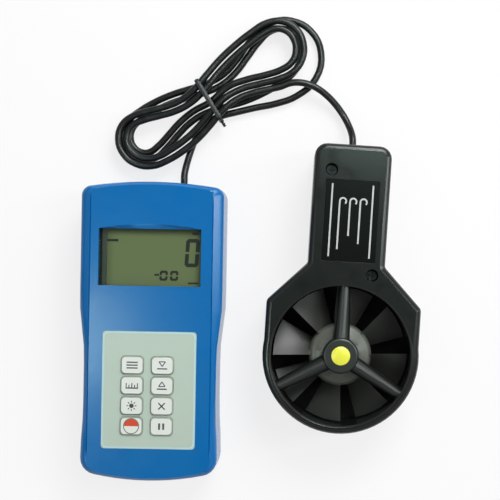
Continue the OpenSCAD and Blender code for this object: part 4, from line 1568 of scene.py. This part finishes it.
@dataclass
class Display(SubAssembly):
    """Window, LCD and its shown signs. Lengths in millimetres.

    Attributes:
        slant: sideways lean of the digits per height.
        cut: cut of their outer corners per stroke.
        gap: half the gap at their middle per stroke.
        large: left, low, width, height and stroke of the large digit.
        small: left, low, width, height and stroke of the first small digit.
        pitch: distance between the two small digits.
        DASHES: ends and width of the plain dashes.
    """

    slant: float = 0.06
    cut: float = 0.65
    gap: float = 0.25
    large: tuple[float, float, float, float, float] = (16.1, 30.95, 4.7, 11.5, 1.8)
    small: tuple[float, float, float, float, float] = (4.15, 24.15, 2.7, 3.6, 1.1)
    pitch: float = 4.9

    DASHES = (
        ((1.3, 26.3), (3.5, 26.3), 0.9),
        ((-22.3, 42.1), (-15.8, 42.1), 1.15),
        ((18.7, 45.7), (21.6, 45.7), 1.2),
        ((17.0, 22.6), (21.8, 22.6), 0.8),
    )

    def lean(self, loop: Loop, foot: float) -> Loop:
        """The outline leaned over to the right from its foot."""
        return [(x + self.slant * (y - foot), y) for x, y in loop]

    def nought(self, left: float, low: float, width: float, height: float, thick: float) -> list[Loop]:
        """Two brackets, one over the other, that show a nought.

        Args:
            left: left line of the strokes' middles.
            low: lower line of the strokes' middles.
            width: distance between the upright lines.
            height: distance between the lower and the upper line.
            thick: width of a stroke.

        Returns:
            The brackets' outlines.
        """
        half, cut, gap = thick / 2, thick * self.cut, thick * self.gap
        outer, inner = (left - half, left + width + half), (left + half, left + width - half)
        loops = []
        for end, way in ((low, -1), (low + height, 1)):
            foot, near, far = low + height / 2 + way * gap, end - way * half, end + way * half
            loop = [(outer[0], foot), (outer[0], far - way * cut), (outer[0] + cut, far)]
            loop += [(outer[1] - cut, far), (outer[1], far - way * cut), (outer[1], foot)]
            loop += [(inner[1], foot), (inner[1], near), (inner[0], near), (inner[0], foot)]
            loops.append(self.lean(loop, low))
        return loops

    def build(self) -> None:
        """Dresses the display and sets its signs."""
        low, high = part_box("lcd_panel")
        # The cell's colour holds painted shadow of the window's walls.
        glass = LcdGlass("lcd_cell_painted_shadow", srgb(98, 113, 74), 0.35, left=low.x / MM, top=high.y / MM)
        self.dress("display_window", WINDOW, "window", edge=0.1)
        self.dress("lcd_panel", glass, "lcd_glass", edge=0.1)
        # The frame strip beside the LCD is painted in the colour of the shaded LCD.
        self.dress("lcd_frame", FRAME_PAINTED_SHADE, "dark_plastic")
        self.paint(WHITE_PLASTIC, "backlight_plate")
        self.paint(LAYERED_RUBBER, "connector_strips")
        signs = Print()
        signs.fill(*self.nought(*self.large))
        left, *others = self.small
        for shift in (0, self.pitch):
            signs.fill(*self.nought(left + shift, *others))
        signs.fill(*(bar(*dash) for dash in self.DASHES))
        signs.build("lcd_signs", high.z / MM, SEGMENT_INK, Body.ROOT.value, Matrix.Identity(4))


@dataclass
class Keypad(SubAssembly):
    """Film panel, its eight keys and their printed signs. Lengths in millimetres.

    Attributes:
        edge: width of the panel's pale edge.
        face: width, height and corner radius of a key's white face.
        swell: how far a key's soft rim stands out into the gap round it.
        corner: corner radius of the panel.
        rim: bare rim of the panel round its pale edge.
        disc: radius of the power sign and width of its ring.
        thin: stroke of fine signs.
        bold: stroke of plain signs.
        wide: half the width of the broad signs.
        tall: half the height of the plain signs.
        reach: half the line under an arrow, and reach of the sun's rays.
    """

    edge: float = 0.9
    face: tuple[float, float, float] = (9.5, 7.4, 1.8)
    swell: float = 0.1
    corner: float = 3.0
    rim: float = 0.15
    disc: Flat = (3.3, 0.4)
    thin: float = 0.45
    bold: float = 0.6
    wide: float = 2.6
    tall: float = 1.5
    reach: float = 2.3

    def build(self) -> None:
        """Dresses the panel and the keys and prints their signs."""
        self.dress("keypad_overlay", PANEL_FILM, "keypad_film", edge=self.rim)
        low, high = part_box("keypad_overlay")
        width, height = (high.x - low.x) / MM, (high.y - low.y) / MM
        place, top = over("keypad_overlay")
        outer, inner = (
            rounded(width - 2 * inset, height - 2 * inset, self.corner - inset)
            for inset in (self.rim, self.edge)
        )
        Print().band(outer, inner).build("panel_edge", top, EDGE_INK, Body.ROOT.value, place)
        for key in Key:
            self.key(key)

    def key(self, key: Key) -> None:
        """Dresses one key, and prints its white face and its sign.

        Args:
            key: the key.
        """
        low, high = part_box(key.node)
        cap = self.dress(key.node, KEY_SIDE, "key_white", key.body, edge=0.2)
        middle, half = (low + high) / 2, (high - low) / 2
        for vertex in cap.data.vertices:
            for i in (0, 1):
                vertex.co[i] = middle[i] + (vertex.co[i] - middle[i]) * (1 + self.swell * MM / half[i])
        self.paint(DARK_PLASTIC, key.plunger)
        place, level = over(key.node)
        face = Print().fill(rounded(*self.face))
        face.build(f"{key.value}_face", level, KEY_WHITE, key.body, place)
        top = level + INK_THICKNESS
        if key is Key.POWER:
            radius, width = self.disc
            rings = [circle(r, 48) for r in (radius + width, radius)]
            Print().fill(arc(radius, 0, 180)).build("power_half", top, RED_INK, key.body, place)
            Print().band(*rings).build("power_ring", top, OUTLINE_INK, key.body, place)
            return
        sign = Print().fill(*self.sign(key))
        sign.build(f"{key.value}_sign", top, MARK_INK, key.body, place)

    def sign(self, key: Key) -> list[Loop]:
        """A key's plain sign.

        Args:
            key: the key.

        Returns:
            The sign's outlines, about the key's middle.
        """
        wide, tall, reach = self.wide, self.tall, self.reach
        if key is Key.FUNCTION:
            return [bar((-wide, y), (wide, y), self.bold) for y in (wide / 2, 0.0, -wide / 2)]
        if key is Key.UNIT:
            foot, short, long, half = -1.2, 0.3, 1.1, self.bold / 2
            tops = ((x * wide / 2, short if x % 2 else long) for x in range(-2, 3))
            ticks = [bar((x, foot + half), (x, top), self.thin) for x, top in tops]
            return [bar((-wide - half, foot), (wide + half, foot), self.bold), *ticks]
        if key is Key.LIGHT:
            near, far = (circle(r, 8) for r in (tall, reach))
            return [circle(0.7 * tall), *(bar(a, b, self.thin) for a, b in zip(near, far))]
        if key in (Key.DOWN, Key.UP):
            way = 1 if key is Key.UP else -1
            tip, foot = tall / 2 + reach / 2 * way, tall / 2 - way
            ends = [(-tall, foot), (tall, foot), (0.0, tip)]
            sides = [bar(a, b, self.thin) for a, b in zip(ends, ends[1:] + ends[:1])]
            return [*sides, bar((-reach, -tall), (reach, -tall), self.bold)]
        if key is Key.CLEAR:
            return [bar((-tall, -y), (tall, y), self.bold) for y in (tall, -tall)]
        apart = 1.9
        return [bar((x, -tall), (x, tall), self.bold * 1.5) for x in (-apart / 2, apart / 2)]


@dataclass
class MeterInside(SubAssembly):
    """Board, switches and batteries, seen when the cover is off."""

    def build(self) -> None:
        """Paints the inner pieces."""
        self.paint(BOARD_GREEN, "main_board")
        self.paint(PLATED, "board_screws", "battery_contacts")
        self.paint(DARK_PLASTIC, "board_chips", "switch_housings")
        self.paint(WHITE_PLASTIC, "cord_header")
        self.paint(SPRING_STEEL, "battery_springs")
        self.dress("battery_cells", SLEEVE_PRINT, "cell_can", edge=0.3)


@dataclass
class ProbeBody(SubAssembly):
    """Shells, spiders and pick-up of the vane probe. Lengths in millimetres.

    Attributes:
        lean: the probe's lean, in degrees.
        rule: length and width of the label's two rules.
        curl: level, radius and turn in degrees of the curl that ends a wind stroke.
        RULES: places of the rules.
        STROKES: place and lower end of each wind stroke.
    """

    lean: float = 2.7
    rule: Flat = (34.0, 0.75)
    curl: tuple[float, float, float] = (9.0, 1.5, 225.0)

    RULES = (-9.4, 9.6)
    STROKES = ((-5.6, -13.5), (-0.8, -7.0), (4.0, -10.5))

    def build(self) -> None:
        """Dresses the probe and prints its label."""
        for shell in ("probe_front_shell", "probe_rear_shell"):
            self.dress(shell, PROBE_BLACK, "probe_black", edge=0.25)
        for spider in ("front_spider", "rear_spider"):
            self.dress(spider, SPIDER_BLACK, "probe_black", edge=0.3)
        self.dress("probe_screws", SCREW_BLACK, "steel", edge=0.12)
        self.dress("probe_label", LABEL_FILM, "label_film", edge=0.08)
        self.dress("probe_grommet", SLEEVE_RUBBER, "cord_rubber")
        self.dress("hub_dot", DOT_YELLOW, "dot_paint", edge=0.08)
        self.paint(BUSH, "front_bearing", "rear_bearing")
        self.paint(DARK_PLASTIC, "hall_sensor")
        self.paint(RIBBON, "sensor_ribbon")
        self.paint(BOARD_GREEN, "pickup_board")
        self.label()

    def label(self) -> None:
        """Prints two silver rules and three wind strokes on the label."""
        middle, top = over("probe_label")
        place = middle @ Matrix.Rotation(math.radians(-self.lean), 4, "Z")
        length, width = self.rule
        rules = Print().fill(*(bar((x, -length / 2), (x, length / 2), width) for x in self.RULES))
        rules.build("label_rules", top, SILVER_INK, Body.ROOT.value, place)
        sign = Print().fill(*(self.wind(*each) for each in self.STROKES))
        sign.build("label_sign", top, SILVER_INK, Body.ROOT.value, place)

    def wind(self, x: float, low: float) -> Loop:
        """Outline of one wind stroke that ends in a curl.

        Args:
            x: place of its straight part.
            low: lower end of that part.

        Returns:
            The outline.
        """
        top, reach, turn = self.curl
        curl = [(x + reach + px, top + py) for px, py in arc(reach, 180, 180 - turn, 16)]
        return stroke([(x, low), *curl], self.rule[1])


@dataclass
class Rotor(SubAssembly):
    """Impeller with its shaft and magnet."""

    def build(self) -> None:
        """Dresses the rotor."""
        self.dress("impeller", ROTOR_GREY, "rotor_plastic", Body.ROTOR.value, edge=0.2, crease=40.0)
        self.paint(PLATED, "rotor_shaft")
        self.paint(FERRITE, "rotor_magnet")


def main() -> None:
    """Builds the stage, the cord and each sub-assembly."""
    logging.basicConfig(level=logging.INFO, format="%(name)s: %(message)s")
    for part in (Stage(), CordRun(), MeterCase(), Display(), Keypad(), MeterInside(), ProbeBody(), Rotor()):
        part.build()


if __name__ == "__main__":
    main()
